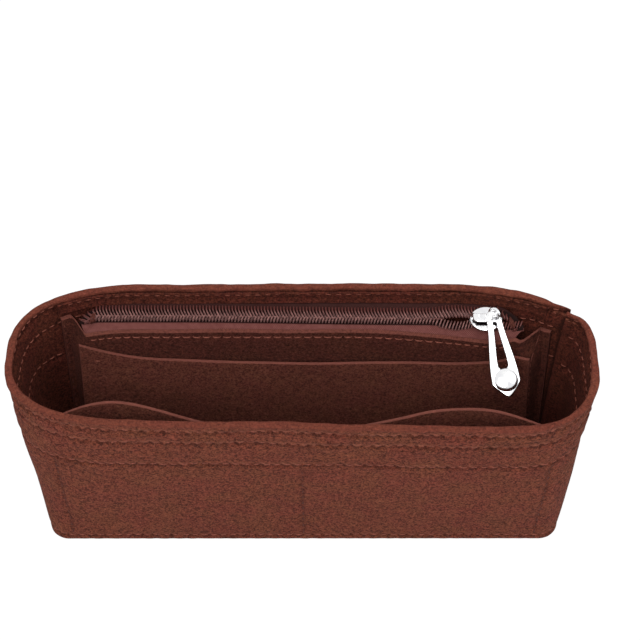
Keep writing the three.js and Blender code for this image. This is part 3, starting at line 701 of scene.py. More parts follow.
# How far the sewing draws a face in: a groove along each row, deeper at each stitch hole, one down each
# upright seam, and swellings between the rows
def sewnDent(z, distance):
    dent = 0.0
    sag = sewing["scallop"] * (np.abs(np.sin(math.pi * distance / sewing["pitch"])) - sewing["scallopMean"])
    hole = holes(distance, sewing["pitch"], sewing["holeDepth"])
    for number in range(len(rowHeights)):
        near = bell((z - rowHeight(number, distance) - sag) / sewing["dentReach"])
        dent = dent + sewing["dent"] * near * hole
    side = quarterEnd(z, 1) - distance
    for seam in seams:
        hole = holes(z, sewing["seamPitch"], sewing["seamHole"])
        dent = dent + sewing["seamDent"] * bell((side - seam) / sewing["seamReach"]) * hole * inSeam(z)
    for number in range(3):  # short swellings between the holes, below each row
        below = (rowHeight(number, distance) - sewing["swellBelow"] - z) / sewing["swellReach"]
        dent = dent - sewing["swell"] * bell(below) * unevenness(distance, number * 9.0, 5.2, 70 + number)
    band = smooth((z - sewing["puckerFrom"]) / sewing["puckerRise"]) * sewing["pucker"]
    dent = dent - band * 0.5 * unevenness(distance, z * 3, 13.0, 5)
    return dent - band * 0.4 * unevenness(distance, z * 2, 30.0, 6)


# Shade and light along the sewn rows, one share for each from the rim down to the foot
crease = {
    "shares": (0.8, 0.9, 1.0, 0.6),
    "shadeBelow": 1.0,
    "shadeReach": 0.85,
    "light": 0.75,
    "lightAbove": 0.5,
    "lightReach": 0.75,
    "even": 0.8,
    "uneven": 0.5,
    "seam": 0.8,
    "seamReach": 0.9,
    "seamHole": 0.45,
}


def sewnCrease(z, distance):  # above 0 where the thread pulls the felt into shade, below 0 where it bulges
    total = 0.0
    phase = (distance - lapPlaces(z)[0] - sewing["firstHole"]) / sewing["pitch"]
    sag = np.abs(np.sin(math.pi * phase)) - sewing["scallopMean"]
    for number, share in enumerate(crease["shares"]):
        height = z - rowHeight(number, distance) + sag
        light = crease["light"] * bell((height - crease["lightAbove"]) / crease["lightReach"])
        shade = bell((height + crease["shadeBelow"]) / crease["shadeReach"]) - light
        varied = crease["even"] + crease["uneven"] * unevenness(distance, number * 7.0, 6.0, 80 + number)
        total = total + share * shade * varied
    side = quarterEnd(z, 1) - distance
    for seam in seams:
        near = bell((side - seam) / crease["seamReach"]) * holes(z, sewing["seamPitch"], crease["seamHole"])
        total = total + crease["seam"] * near * inSeam(z)
    return total


wavy = {
    "footRise": 25.0,
    "rimOver": 12.0,
    "rimFade": 30.0,
    "slow": 0.45,
    "middle": 0.25,
    "fine": 0.05,
    "rimAt": 110.0,
    "rearRise": 1.3,
    "rearReach": 0.19,
    "rimSlow": 0.3,
    "rimFine": 0.12,
    "liftFrom": 70.0,
    "liftOver": 40.0,
}


def wallSwell(z, distance):  # the felt's own slow unevenness, less at the foot and at the rim
    rise = smooth(z / wavy["footRise"]) * smooth((box["height"] + wavy["rimOver"] - z) / wavy["rimFade"])
    slow = wavy["slow"] * unevenness(distance, z * 1.5, 120.0, 1)
    slow = slow + wavy["middle"] * unevenness(distance, z, 42.0, 2)
    return rise * slow + wavy["fine"] * unevenness(distance, z, 5.0, 3)


def swellInwards(z, distance):
    return np.maximum(wallSwell(z, distance), 0)


def rimWave(distance):  # the rim's rise and fall; it stands a little higher along the rear
    turn = (distance / aroundAt(wavy["rimAt"]) + 0.5) % 1.0 - 0.5
    wave = wavy["rearRise"] * hump(turn, wavy["rearReach"])
    wave = wave + wavy["rimSlow"] * unevenness(distance, 0.0, 60.0, 9)
    return wave + wavy["rimFine"] * unevenness(distance, 0.0, 11.0, 10)


def rimLift(z, distance):
    return rimWave(distance) * smooth((z - wavy["liftFrom"]) / wavy["liftOver"])


def lapNear(z, distance):  # both ends of the band, pressed thinner, close up to each other in the lap
    first, last = lapPlaces(z)
    near = smooth((distance - last + box["lastReach"]) / box["lastReach"])
    return box["lapNear"] * (near - smooth((first + box["firstReach"] - distance) / box["firstReach"]))


def bandThin(z, distance):  # how much of its thickness the band keeps, less at both ends
    first, last = lapPlaces(z)
    atFirst = mix(box["firstThin"], 1.0, smooth((distance - first) / box["firstReach"]))
    return atFirst * mix(box["lastThin"], 1.0, smooth((last - distance) / box["lastReach"]))


wallMesh = {
    "rounding": 1.0,
    "step": 3.0,
    "fineStep": 0.9,
    "fineReach": 2.7,
    "columns": 690,
    "innerShare": 0.7,
    "outerShare": 0.3,
    "rimEdge": 2.4,
    "rimEdgeFade": 1.2,
    "rimInside": 2.0,
    "firstEndLight": 2.2,
    "creaseShare": 0.7,
    "lapShade": 0.8,
    "lapShadeReach": 3.2,
    "lapShadeFade": 1.2,
}


def makeWall():
    rounding, fine = wallMesh["rounding"], (wallMesh["fineStep"], wallMesh["fineReach"])
    levels = levelsBetween(rounding, box["height"] - rounding, wallMesh["step"], rowHeights, *fine)
    loop = feltLoop(levels, box["felt"], rounding)
    across = np.linspace(0.0, 1.0, wallMesh["columns"])[:, None]
    z = np.broadcast_to(loop["z"], (len(across), len(loop["z"])))
    first, last = lapPlaces(z)
    distance = mix(first, last, across)
    half = box["felt"] / 2
    depth = (loop["depth"] - half) * bandThin(z, distance) + half + lapNear(z, distance)
    depth = depth - pressed(z) * loop["depth"] / box["felt"]
    dent = sewnDent(z, distance) * loop["face"]
    points = wallPoint(z, distance, depth + bandShift(z, distance) + dent + wallSwell(z, distance))
    points[..., 2] += rimLift(z, distance)
    inner = loop["depth"] > box["felt"] * wallMesh["innerShare"]
    outer = loop["depth"] < box["felt"] * wallMesh["outerShare"]
    aboveRim = loop["z"] - box["height"]
    # paler edge colour on the rim's top band: partly the cut edge, partly painted light from above
    edge = np.maximum(loop["edge"], smooth((aboveRim + wallMesh["rimEdge"]) / wallMesh["rimEdgeFade"]))
    # painted light on the lap's first cut end, which faces the light
    edge = np.maximum(edge, smooth(wallMesh["firstEndLight"] - (distance - first)) * inner)
    lapShade = smooth((distance - last + wallMesh["lapShadeReach"]) / wallMesh["lapShadeFade"])
    shade = wallMesh["creaseShare"] * np.clip(sewnCrease(z, distance), -1, 1) * outer
    shade = shade + wallMesh["lapShade"] * lapShade * inner
    # painted shade on the inner face, from a little below the rim downwards
    inside = inner * (1 - smooth(aboveRim + wallMesh["rimInside"]))
    return addSheet("wallBand", points, edge, inside, shade)


wallSheet = {"flat": (612, 110), "held": "stretched", "restsOn": ["base_panel"]}
finishPiece(makeWall(), outerFelt, "insert", "outer_felt", ["wall_band"], **wallSheet)
print("wall made")


base = {
    "columns": 900,
    "lapReach": 26.0,
    "wave": 0.15,
    "shrinkShares": (0.02, 0.3, 0.6, 0.85),
    "edgeRings": (8, 12),
}


# Base: a floor whose edge turns up as a short flange inside the wall. Rings of one outline, the inner ones
# shrunk towards the middle. The section lists each ring's height and its depth from the wall's outer face.
def makeBase():
    outer, top = box["felt"] + box["restGap"], box["flangeHeight"]
    inner = outer + box["flangeFelt"]
    turns = np.linspace(0, 1, base["columns"], endpoint=False)

    def ring(z, depth):
        distance = turns * aroundAt(z)
        first, last = lapPlaces(z)
        inset = lapShift * hump(distance - (first + last - aroundAt(z)) / 2, base["lapReach"])
        return wallPoint(z, distance, depth + inset)

    section = [(0.0, outer + 0.6), (0.3, outer + 0.15), (1.0, outer), (top - 1, outer)]
    section += [(top - 0.2, outer + 0.4), (top, outer + 1.1), (top - 0.2, inner - 0.4), (top - 1, inner)]
    section += [(5.0, inner + 0.1), (3.8, inner + 0.5), (3.2, inner + 1.4)]
    rings = [ring(z, depth) for z, depth in section]
    middle = np.array([1.0, 1.0, 0.0])
    under = [rings[0] * (middle * share + [0, 0, 1]) for share in base["shrinkShares"]]
    floor = [rings[-1] * (middle * share + [0, 0, 1]) for share in base["shrinkShares"][::-1]]
    for points in floor:
        points[:, 2] = box["felt"] + base["wave"] * unevenness(points[:, 0], points[:, 1], 50.0, 60)
    rings = np.stack([*under, *rings, *floor])
    rows, count = rings.shape[:2]
    edge = np.zeros((rows, count))
    edge[slice(*base["edgeRings"])] = 1.0
    faces, flat = gridFaces(rows, count), rings.reshape(-1, 3)
    caps = [list(range(count)), list(range((rows - 1) * count, rows * count))]
    if turnedOut(flat - [0, 0, box["felt"]], faces):
        caps[0] = caps[0][::-1]
    else:
        faces = faces[:, ::-1]
        caps[1] = caps[1][::-1]
    return addMesh("basePanel", flat, faces, caps, {"cutEdgeAndLight": edge})


baseSheet = {"flat": (240, 50), "held": "laid", "restsOn": ["wallBand"]}
finishPiece(makeBase(), innerShadedFelt, "insert", "inner_felt", ["base_panel", "base_flange"], **baseSheet)
print("base made")

# Front pockets
pocket = {
    "halfLength": 106.0,
    "top": 98.0,
    "foot": 7.35,
    "leftBulge": 14.3,
    "rightBulge": 14.0,
    "leftSkew": 2.3,
    "rightSkew": 1.6,
    "fadePower": 1.2,
    "felt": 1.4,
    "rounding": 0.5,
    "step": 3.0,
    "columns": 300,
    "swell": 0.25,
    "wave": 0.25,
    "clear": 0.1,
}
pocketSheet = {"flat": (224, 91), "held": "hung", "restsOn": ["wallBand"]}


def makePocket():
    rounding, foot, top = pocket["rounding"], pocket["foot"], pocket["top"]
    loop = feltLoop(levelsBetween(foot + rounding, top - rounding, pocket["step"]), pocket["felt"], rounding)
    side = np.linspace(-pocket["halfLength"], pocket["halfLength"], pocket["columns"])[:, None]
    z = np.broadcast_to(loop["z"], (len(side), len(loop["z"])))
    level = np.clip((z - foot) / (top - foot), 0, 1) ** pocket["fadePower"]
    skew = np.where(side < 0, pocket["leftSkew"], pocket["rightSkew"])
    arch = np.sin(math.pi * np.clip(np.abs(side) / pocket["halfLength"], 0, 1) ** skew)
    bulge = level * arch * np.where(side < 0, pocket["leftBulge"], pocket["rightBulge"])
    swell = pocket["swell"] * level * arch * unevenness(side, z, 30.0, 21)
    distance = onFront(z, side)
    wallMove = swellInwards(z, distance) + pocket["clear"]
    points = wallPoint(z, distance, box["felt"] + box["restGap"] + bulge + swell + wallMove + loop["depth"])
    points[..., 2] += level * (pocket["wave"] * unevenness(side, 0 * z, 28.0, 22))
    return addSheet("frontPockets", points, loop["edge"])


finishPiece(makePocket(), innerShadedFelt, "insert", "inner_felt", ["front_pocket_panel"], **pocketSheet)
print("front pockets made")

# Zip: the coils, tapes and slider lean forward together about the chain's middle line, which lies halfway
# between the outer corners of the two CAD coils
rearCoilHigh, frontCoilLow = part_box("zip_coil_rear")[1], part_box("zip_coil_front")[0]
zipSizes = {
    "middleY": (rearCoilHigh[1] + frontCoilLow[1]) / 2 / mm,
    "middleZ": (rearCoilHigh[2] + frontCoilLow[2]) / 2 / mm,
    "lean": 15.0,
    "coil": 2.2,
    "tape": 0.6,
    "left": -92.8,
    "right": 94.0,
    "pitch": 1.38,
}
zipSizes["coilTop"] = zipSizes["coil"] / 2
zipSizes["tapeTop"] = -zipSizes["coil"] / 2 - box["restGap"]
zipSizes["tapeFoot"] = zipSizes["tapeTop"] - zipSizes["tape"]


# From the zip's own frame (x, across, above its middle line) to where it lies
def leanZip(points):
    lean = math.radians(zipSizes["lean"])
    across, above = points[..., 1], points[..., 2]
    y = zipSizes["middleY"] + across * math.cos(lean) - above * math.sin(lean)
    z = zipSizes["middleZ"] + across * math.sin(lean) + above * math.cos(lean)
    return np.stack([points[..., 0], y, z], -1)


# Zipped pouch
pouch = {
    "halfLength": 103.5,
    "endTurn": 9.0,
    "flange": 3.0,
    "foot": 7.35,
    "top": 100.9,
    "topBulge": 12.5,
    "footBulge": 0.6,
    "gape": 2.9,
    "gapeAt": 84.0,
    "gapeLeft": 62.0,
    "gapeRight": 18.0,
    "gapeDrop": 2.2,
    "felt": 2.2,
    "rowBelow": 2.9,
    "rounderFrom": 86.0,
    "rounderOver": 12.0,
    "leftReach": (103.2, 101.6),  # below and near the zip, as are the next three
    "rightReach": (107.5, 106.0),
    "leftTurn": (2.0, 5.7),
    "rightTurn": (2.5, 9.0),
    "endDrop": 5.6,
    "endDropFrom": 94.0,
    "endDropOver": 9.0,
    "rounding": (0.7, 0.5),
    "step": 3.0,
    "fineBelow": 3.6,
    "fineStep": 0.9,
    "fineReach": 2.8,
    "rightMore": 3.5,
    "leftLess": 0.5,
    "columns": (44, 330, 56),
    "dent": 0.3,
    "dentReach": 1.3,
    "swell": 0.3,
    "swellFade": 8.0,
    "topThin": 0.92,
    "topThinReach": 5.0,
    "edgeShare": 0.75,
    "edgeFrom": 86.0,
    "edgeOver": 6.0,
    "edgeLight": 0.8,
}
pouchSheet = {"flat": (236, 94), "held": "hung", "restsOn": ["wallBand"]}


def gapes(side):  # 1 where the pouch's mouth stands open widest, fading to both sides
    reach = np.where(side < pouch["gapeAt"], pouch["gapeLeft"], pouch["gapeRight"])
    return smooth(1.0 - np.abs(side - pouch["gapeAt"]) / reach)


# The pouch's ends turn back to the wall sharply below and more gently near the zip.
def pouchFace(z, side):
    level = np.clip((z - pouch["foot"]) / (pouch["top"] - pouch["foot"]), 0, 1)
    rounder = smooth((z - pouch["rounderFrom"]) / pouch["rounderOver"])
    reach = np.where(side < 0, mix(*pouch["leftReach"], rounder), mix(*pouch["rightReach"], rounder))
    turn = np.where(side < 0, mix(*pouch["leftTurn"], rounder), mix(*pouch["rightTurn"], rounder))
    end = smooth((reach - np.abs(side)) / turn)
    gape = pouch["gape"] * gapes(side)
    return rearFace(z, side) + box["restGap"] + end * mix(pouch["footBulge"], pouch["topBulge"] + gape, level)


def pouchDrop(side):  # how far the pouch's top edge sags where it gapes, and at its right end
    endDrop = pouch["endDrop"] * smooth((side - pouch["endDropFrom"]) / pouch["endDropOver"])
    return pouch["gapeDrop"] * gapes(side) + endDrop


def makePouch():
    foot, top, fine = pouch["foot"], pouch["top"], (pouch["fineStep"], pouch["fineReach"])
    low, high = foot + pouch["rounding"][0], top - pouch["rounding"][1]
    levels = levelsBetween(low, high, pouch["step"], [top - pouch["fineBelow"]], *fine)
    loop = feltLoop(levels, pouch["felt"], pouch["rounding"][1])
    reach, flat = pouch["halfLength"] + pouch["flange"], pouch["halfLength"] - pouch["endTurn"]
    leftCount, count, rightCount = pouch["columns"]
    leftTurn = np.linspace(flat, reach - pouch["leftLess"], leftCount)
    rightTurn = np.linspace(flat, reach + pouch["rightMore"], rightCount)
    side = np.concatenate([-leftTurn[::-1], np.linspace(-flat, flat, count)[1:-1], rightTurn])[:, None]
    z = np.broadcast_to(loop["z"], (len(side), len(loop["z"])))
    level = np.clip((z - foot) / (top - foot), 0, 1)
    dent = pouch["dent"] * bell((z - top + pouch["rowBelow"]) / pouch["dentReach"]) * loop["face"]
    swell = pouch["swell"] * unevenness(side, z, 60.0, 31)
    swell = swell * smooth((flat - np.abs(side)) / pouch["swellFade"]) * level
    thin = mix(1.0, pouch["topThin"], smooth((z - top + pouch["topThinReach"]) / pouch["topThinReach"]))
    points = wallPoint(z, onRear(z, side), pouchFace(z, side) + loop["depth"] * thin + dent + swell)
    points[..., 2] -= pouchDrop(side) * level**2
    edge = loop["edge"] * mix(pouch["edgeShare"], 1.0, smooth((side - pouch["edgeFrom"]) / pouch["edgeOver"]))
    # painted shade over the whole pouch, less on its cut edges, which leaves painted light along its top edge
    return addSheet("pouchFront", points, edge, 1 - pouch["edgeLight"] * edge)


finishPiece(makePouch(), innerShadedFelt, "insert", "inner_felt", ["pouch_front_panel"], **pouchSheet)

# Strip above the zip
strip = {
    "felt": 1.2,
    "foot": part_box("pouch_top_strip")[0][2] / mm - 0.8,
    "top": box["height"] - 1.5,
    "rounding": 0.4,
    "step": 0.8,
    "columns": 320,
    "dent": 0.3,
    "dentReach": 1.5,
    "wallShare": 0.6,
    "liftShare": 0.8,
    "edgeShare": 0.3,
}
stripSheet = {"flat": (214, 10), "held": "stretched", "restsOn": ["wallBand"], "area": 214 * 6.6e-6}


def stripFace(z, side):
    return rearFace(z, side) + box["restGap"]


def makeStrip():
    low, high = strip["foot"] + strip["rounding"], strip["top"] - strip["rounding"]
    loop = feltLoop(levelsBetween(low, high, strip["step"]), strip["felt"], strip["rounding"])
    reach = pouch["halfLength"] + pouch["flange"]
    side = np.linspace(-reach, reach, strip["columns"])[:, None]
    z = np.broadcast_to(loop["z"], (len(side), len(loop["z"])))
    distance = onRear(z, side)
    row = bell((z - rowHeight(0, distance)) / strip["dentReach"])
    dent = strip["dent"] * row * np.clip(loop["face"], -1, 0)
    wallMove = swellInwards(z, distance) * strip["wallShare"]
    points = wallPoint(z, distance, stripFace(z, side) + loop["depth"] + dent + wallMove)
    points[..., 2] += rimWave(distance) * strip["liftShare"]
    # painted shade over the whole strip
    return addSheet("topStrip", points, loop["edge"] * strip["edgeShare"], 0 * loop["edge"] + 1)


finishPiece(makeStrip(), outerFelt, "insert", "inner_felt", ["pouch_top_strip"], **stripSheet)

# Card pocket: its top edge sags in the middle and rises where it runs round the pouch's corners
card = {
    "halfLength": 94.5,
    "left": -100.6,
    "right": 104.6,
    "top": 86.9,
    "sag": 1.4,
    "restGap": 0.8,
    "bow": 2.4,
    "felt": 1.4,
    "rounding": 0.5,
    "step": 3.0,
    "columns": 320,
    "wave": 0.25,
    "riseFrom": 60.0,
    "riseMost": 1.2,
    "leftRise": 8.8,
    "leftRiseOver": 36.0,
    "leftRisePower": 2.2,
    "rightRise": 6.0,
    "rightRiseOver": 42.0,
    "dropShare": 0.5,
}
cardSheet = {"flat": (206, 80), "held": "hung", "restsOn": ["pouchFront"]}


def makeCard():
    foot, top, rounding = pouch["foot"], card["top"], card["rounding"]
    loop = feltLoop(levelsBetween(foot + rounding, top - rounding, card["step"]), card["felt"], rounding)
    side = np.linspace(card["left"], card["right"], card["columns"])[:, None]
    up = (loop["z"] - foot) / (top - foot)
    bow = np.cos(np.clip(side / card["halfLength"], -1, 1) * math.pi / 2)
    z = foot + up * (top - card["sag"] * bow - foot)
    level = np.clip(up, 0, 1)
    wave = card["wave"] * unevenness(side, z, 36.0, 36) * level * bow
    depth = pouchFace(z, side) + pouch["felt"] + card["restGap"] + card["bow"] * bow**2 * level + wave
    points = wallPoint(z, onRear(z, side), depth + loop["depth"])
    leftRise = np.clip((-card["riseFrom"] - side) / card["leftRiseOver"], 0, card["riseMost"])
    rightRise = np.clip((side - card["riseFrom"]) / card["rightRiseOver"], 0, card["riseMost"])
    rise = card["leftRise"] * leftRise ** card["leftRisePower"] + card["rightRise"] * rightRise**2
    points[..., 2] += (rise - pouchDrop(side) * card["dropShare"]) * level**2
    return addSheet("cardPocket", points, loop["edge"])


finishPiece(makeCard(), innerShadedFelt, "insert", "inner_felt", ["card_pocket_panel"], **cardSheet)
print("pouch made")


# The chain's own line: straight between the ends; at the left it turns down round a small bend, and right
# of the slider each coil turns forward and down into the pouch. bow is how far a coil stands off the line.
zipLine = {
    "leftBend": -87.6,
    "leftRadius": 4.0,
    "leftDrop": 1.6,
    "rightBend": 84.5,
    "rightRadius": 6.0,
    "rightDrop": 2.4,
    "drift": 1.2,
    "driftFrom": 50.0,
    "driftReach": 110.0,
    "bowAt": 66.5,
    "bowReach": 12.0,
    "frontBow": 2.0,
    "rearBow": 1.1,
    "openAt": 73.0,
    "frontOpen": 2.2,
    "rearOpen": 0.6,
    "frontClose": 1.6,
    "leftTurn": 1.35,
    "rightTurn": 1.4,
    "leftDropFrom": -86.0,
    "leftDropOver": 7.0,
    "rightDropFrom": 85.0,
    "rightDropOver": 8.0,
    "openOver": 8.0,
    "closeFrom": 86.0,
    "closeOver": 8.0,
    "beyond": 200.0,
}


def chainDrift(station):  # the whole chain drifts back towards its left end
    return zipLine["drift"] * smooth((zipLine["driftFrom"] - station) / zipLine["driftReach"])


# For each station: x, the way off the middle line, the way down and the turn forward, which is negative
# at the left end and positive at the right
def chainLine(station, sign, straight=False):
    front, far = sign < 0, zipLine["beyond"]
    leftRadius, rightRadius = zipLine["leftRadius"], zipLine["rightRadius"]
    left = np.clip((zipLine["leftBend"] - station) / leftRadius, 0.0, zipLine["leftTurn"])
    left = left * (0.0 if straight else 1.0)
    right = np.clip((station - zipLine["rightBend"]) / rightRadius, 0.0, zipLine["rightTurn"])
    right = right * (0.0 if front else 1.0)
    x = np.clip(station, -far if straight else zipLine["leftBend"], far if front else zipLine["rightBend"])
    x = x - leftRadius * np.sin(left) + rightRadius * np.sin(right)
    leftDown = smooth((zipLine["leftDropFrom"] - station) / zipLine["leftDropOver"])
    rightDown = smooth((station - zipLine["rightDropFrom"]) / zipLine["rightDropOver"])
    down = zipLine["leftDrop"] * leftDown + zipLine["rightDrop"] * rightDown
    coil = "front" if front else "rear"
    bow = zipLine[coil + "Bow"] * hump(station - zipLine["bowAt"], zipLine["bowReach"])
    opened = zipLine[coil + "Open"] * smooth((station - zipLine["openAt"]) / zipLine["openOver"])
    forward = rightRadius * (1 - np.cos(right)) + leftRadius * (1 - np.cos(left))
    off = sign * np.maximum(bow, opened) + chainDrift(station) - forward
    if front:
        off = off + zipLine["frontClose"] * smooth((station - zipLine["closeFrom"]) / zipLine["closeOver"])
    return x, off, down, right - left


tape = {
    "rearStart": zipLine["leftBend"] - zipLine["leftTurn"] * zipLine["leftRadius"],
    "rearStop": zipLine["rightBend"] + zipLine["rightTurn"] * zipLine["rightRadius"],
    "frontStart": -94.6,
    "frontStop": zipSizes["right"] + 0.6,
    "columns": 300,
    "rows": 22,
    "rounding": 0.04,
    "least": 1.4,
    "inner": 0.55,
    "stripShare": 0.6,
    "pouchShare": 0.8,
    "rearEnd": 4.0,
    "rearEndRight": 83.0,
    "rearEndLeft": -85.0,
    "rearEndOver": 5.0,
    "frontEnd": 3.4,
    "frontEndFrom": 87.0,
    "frontEndOver": 7.0,
    "tailFrom": -90.4,
    "tailOver": 4.2,
    "tailShare": 0.75,
    "sagShare": 0.9,
    "nearShare": 1.3,
    "outerDown": 0.6,
    "wave": 0.06,
    "tapeShade": 0.8,
    "rearBed": 4.6,
    "rearBedFade": 1.2,
    "frontBed": 2.5,
    "frontBedFade": 0.5,
}
rearTapeSheet = {"flat": (186, 10), "held": "stretched", "restsOn": ["topStrip"], "area": 186 * 7e-6}
frontTapeSheet = {"flat": (189, 10), "held": "stretched", "restsOn": ["pouchFront"], "area": 189 * 7e-6}


# Tape: from under its coil out to the felt, as a thin sheet whose section runs across the zip. Its outer
# edge lies where its leaned plane meets the wall's or the pouch's felt.
def makeTape(name, sign):
    rear = sign > 0
    part = "rear" if rear else "front"
    station = np.linspace(tape[part + "Start"], tape[part + "Stop"], tape["columns"])[:, None]
    rounding = tape["rounding"]
    loop = feltLoop(np.linspace(rounding, 1 - rounding, tape["rows"]), zipSizes["tape"], rounding)
    share = np.clip(loop["z"], 0, 1)[None]
    x, line, down, swing = chainLine(station, sign, not rear)
    top = pouch["top"]
    if rear:
        depth = stripFace(strip["foot"], station) + strip["felt"] * tape["stripShare"]
        felt = wallPoint(strip["foot"], onRear(top, station), depth)[..., 1]
    else:
        depth = pouchFace(top, station) + pouch["felt"] * tape["pouchShare"]
        felt = wallPoint(top, onRear(top, station), depth)[..., 1]
    lean = math.radians(zipSizes["lean"])
    outer = np.maximum(sign * ((felt - zipSizes["middleY"]) / math.cos(lean) - line), tape["least"])
    if rear:
        atRight = smooth((station - tape["rearEndRight"]) / tape["rearEndOver"])
        atLeft = smooth((tape["rearEndLeft"] - station) / tape["rearEndOver"])
        outer = mix(outer, tape["rearEnd"], np.maximum(atRight, atLeft))
    else:
        outer = mix(outer, tape["frontEnd"], smooth((station - tape["frontEndFrom"]) / tape["frontEndOver"]))
        tail = np.clip((tape["tailFrom"] - station) / tape["tailOver"], 0, 1)
        outer = outer * (1 - tape["tailShare"] * tail**2)
    away = mix(tape["inner"], outer, share)
    near = np.clip(1 - share * tape["nearShare"], 0, 1)
    sag = pouchDrop(station) * share * (0.0 if rear else tape["sagShare"])
    level = zipSizes["tapeFoot"] + loop["depth"] - down * mix(tape["outerDown"], 1.0, near) - sag
    level = level + tape["wave"] * unevenness(station, away * 2, 14.0, 44)
    across = line + sign * away * np.cos(swing)
    points = leanZip(np.stack(np.broadcast_arrays(x + away * np.sin(swing), across, level), -1))
    # painted shade: full under the coil, and most of it over the rest of the rear tape
    tapeShade = smooth((tape[part + "Bed"] - away) / tape[part + "BedFade"])
    if rear:
        tapeShade = mix(tape["tapeShade"], 1.0, tapeShade)
    return addSheet(name, points, loop["edge"] * 0, np.broadcast_to(tapeShade, points.shape[:2]))


finishPiece(makeTape("rearTape", 1), zipTape, "insert", "zip_tape", ["zip_tape_rear"], **rearTapeSheet)
finishPiece(makeTape("frontTape", -1), zipTape, "insert", "zip_tape", ["zip_tape_front"], **frontTapeSheet)

tooth = {
    "radius": 0.31,
    "head": 1.2,
    "headReach": 0.45,
    "frontTail": 1.85,
    "rearTail": 5.0,
    "slant": 0.55,
    "rings": 13,
    "sides": 6,
}


# One coil: a row of U-shaped teeth. Each is a tube that comes in over the tape, bends at its head past the
# middle line and goes back out below; its outer ends lie further left, so that the closed chain shows a
# row of arrow heads. The section is a circle, fatter at the head.
def makeCoil(name, sign):
    count = int((zipSizes["right"] - zipSizes["left"]) / zipSizes["pitch"])
    station = zipSizes["left"] + (np.arange(count) + (0.75 if sign > 0 else 1.25)) * zipSizes["pitch"]
    t = np.linspace(-1, 1, tooth["rings"])
    bend = np.abs(t)
    rise = zipSizes["coil"] / 2 - tooth["radius"]
    angle = np.clip(t * 2.0, -1, 1) * math.pi / 2
    tail = tooth["rearTail"] if sign > 0 else tooth["frontTail"]
    straight = mix(rise - tooth["headReach"], tail, np.clip(bend * 2 - 1, 0, 1))
    off = np.where(bend < 0.5, -tooth["headReach"] + (1 - np.cos(angle)) * rise, straight)
    lean = tooth["slant"] * np.clip(off + tooth["headReach"], 0, 3.2)
    x, line, down, swing = (part[:, None] for part in chainLine(station, sign))
    parted = np.clip(np.abs(line - chainDrift(station)[:, None]) * 1.2, 0, 1) * (np.abs(swing) < 0.05)
    above = np.sin(angle)[None] * (rise - 0.6 * smooth((off - 2.4) / 1.4))
    away = off[None] * (1 + (0.0 if sign > 0 else 0.5) * parted) + 0.2 * parted
    turned = smooth((zipLine["leftBend"] + 2 - station) / 3) + smooth((station - zipLine["rightBend"]) / 3)
    away = away * (1 - 0.42 * turned[:, None] * smooth((off - 1.2) / 1.5)[None])
    path = np.empty((count, len(t), 3))
    path[..., 0] = x - lean[None] + away * np.sin(swing)
    path[..., 1] = sign * away * np.cos(swing) + line
    path[..., 2] = above - down
    ends = np.clip(smooth((np.abs(swing) - 0.1) / 0.3) + smooth((station[:, None] - 85) / 2), 0, 1)
    reddish = np.maximum(smooth((off - 2.0) / 0.9)[None], ends)
    outward = np.repeat(np.broadcast_to(reddish, (count, len(t)))[..., None], tooth["sides"], 2)
    along = np.gradient(path, axis=1)
    along /= np.linalg.norm(along, axis=2, keepdims=True)
    side = np.cross(along, np.array([1.0, 0.0, 0.0]))
    side /= np.linalg.norm(side, axis=2, keepdims=True)
    other = np.cross(along, side)
    around = np.arange(tooth["sides"]) * 2 * math.pi / tooth["sides"]
    fat = tooth["radius"] * (1 + (tooth["head"] - 1) * np.clip(1 - bend * 2.4, 0, 1))
    sideways = side[:, :, None] * np.cos(around)[None, None, :, None]
    ring = sideways + other[:, :, None] * np.sin(around)[None, None, :, None]
    points = leanZip(path[:, :, None] + ring * fat[None, :, None, None])
    faces, caps = tubeFaces(points)
    return addMesh(name, points.reshape(-1, 3), faces, caps, {"inside": outward})


finishPiece(makeCoil("rearCoil", 1), zipCoil, "insert", "zip_coil", ["zip_coil_rear"])
finishPiece(makeCoil("frontCoil", -1), zipCoil, "insert", "zip_coil", ["zip_coil_front"])
print("zip made")

# Slider and pull
slider = {
    "x": 78.0,
    "length": 13.8,
    "halfWidth": 5.7,
    "forward": 1.0,
    "flangeAt": 4.4,
    "strapForward": 2.1,
    "lowerHalfWidth": 4.1,
    "plate": 1.0,
    "gap": 0.3,
    "axisRise": 3.1,
    "strapWidth": 3.9,
    "strapNeck": 2.0,
    "strap": 1.0,
    "upperPower": 2.0,
    "crown": 0.7,
    "upperRounding": 0.45,
    "lowerPower": 2.3,
    "lowerRounding": 0.35,
    "flangeStart": 0.6,
    "flangeStop": 0.55,
    "flangeThick": 0.8,
    "strapInset": 0.9,
    "shoulder": 2.4,
    "strapEnd": 1.8,
    "endOver": 2.6,
    "neckFrom": 0.2,
    "neckOver": 1.4,
    "postInset": 2.6,
    "post": (0.6, 2.6),
    "slotShadeAt": (-3.6, 0.9),
    "holeShadeAt": (-1.2, 2.0),
    "holeShadeAlong": (-5.0, 1.0),
    "slotShadeInset": 2.2,
}
plateFoot = zipSizes["coilTop"] + slider["gap"]
plateTop = plateFoot + slider["plate"]
axisAbove = plateTop + slider["axisRise"]
pullAxis = leanZip(np.array([slider["x"], 0.0, axisAbove]))


def softened(wave, power):  # a wave pressed towards a rounded square, so that a section gets its corners
    return np.sign(wave) * np.abs(wave) ** power


def endCaps(rows, count):  # the first and the last ring as faces
    return [list(range(count))[::-1], list(range((rows - 1) * count, rows * count))]


def joinable(points, faces, caps=()):  # turns a part's faces outwards and lists them with its caps
    flat = points.reshape(-1, 3)
    if not turnedOut(flat - flat.mean(0), faces):
        faces = faces[:, ::-1]
        caps = [face[::-1] for face in caps]
    return flat, faces.tolist() + [list(face) for face in caps]


plateRings = {
    "under": [0.01, 0.4, 0.8],
    "over": [0.88, 0.82, 0.76, 0.7, 0.64, 0.58, 0.5, 0.42, 0.3, 0.01],
    "bends": 5,
    "crownPower": 3,
}


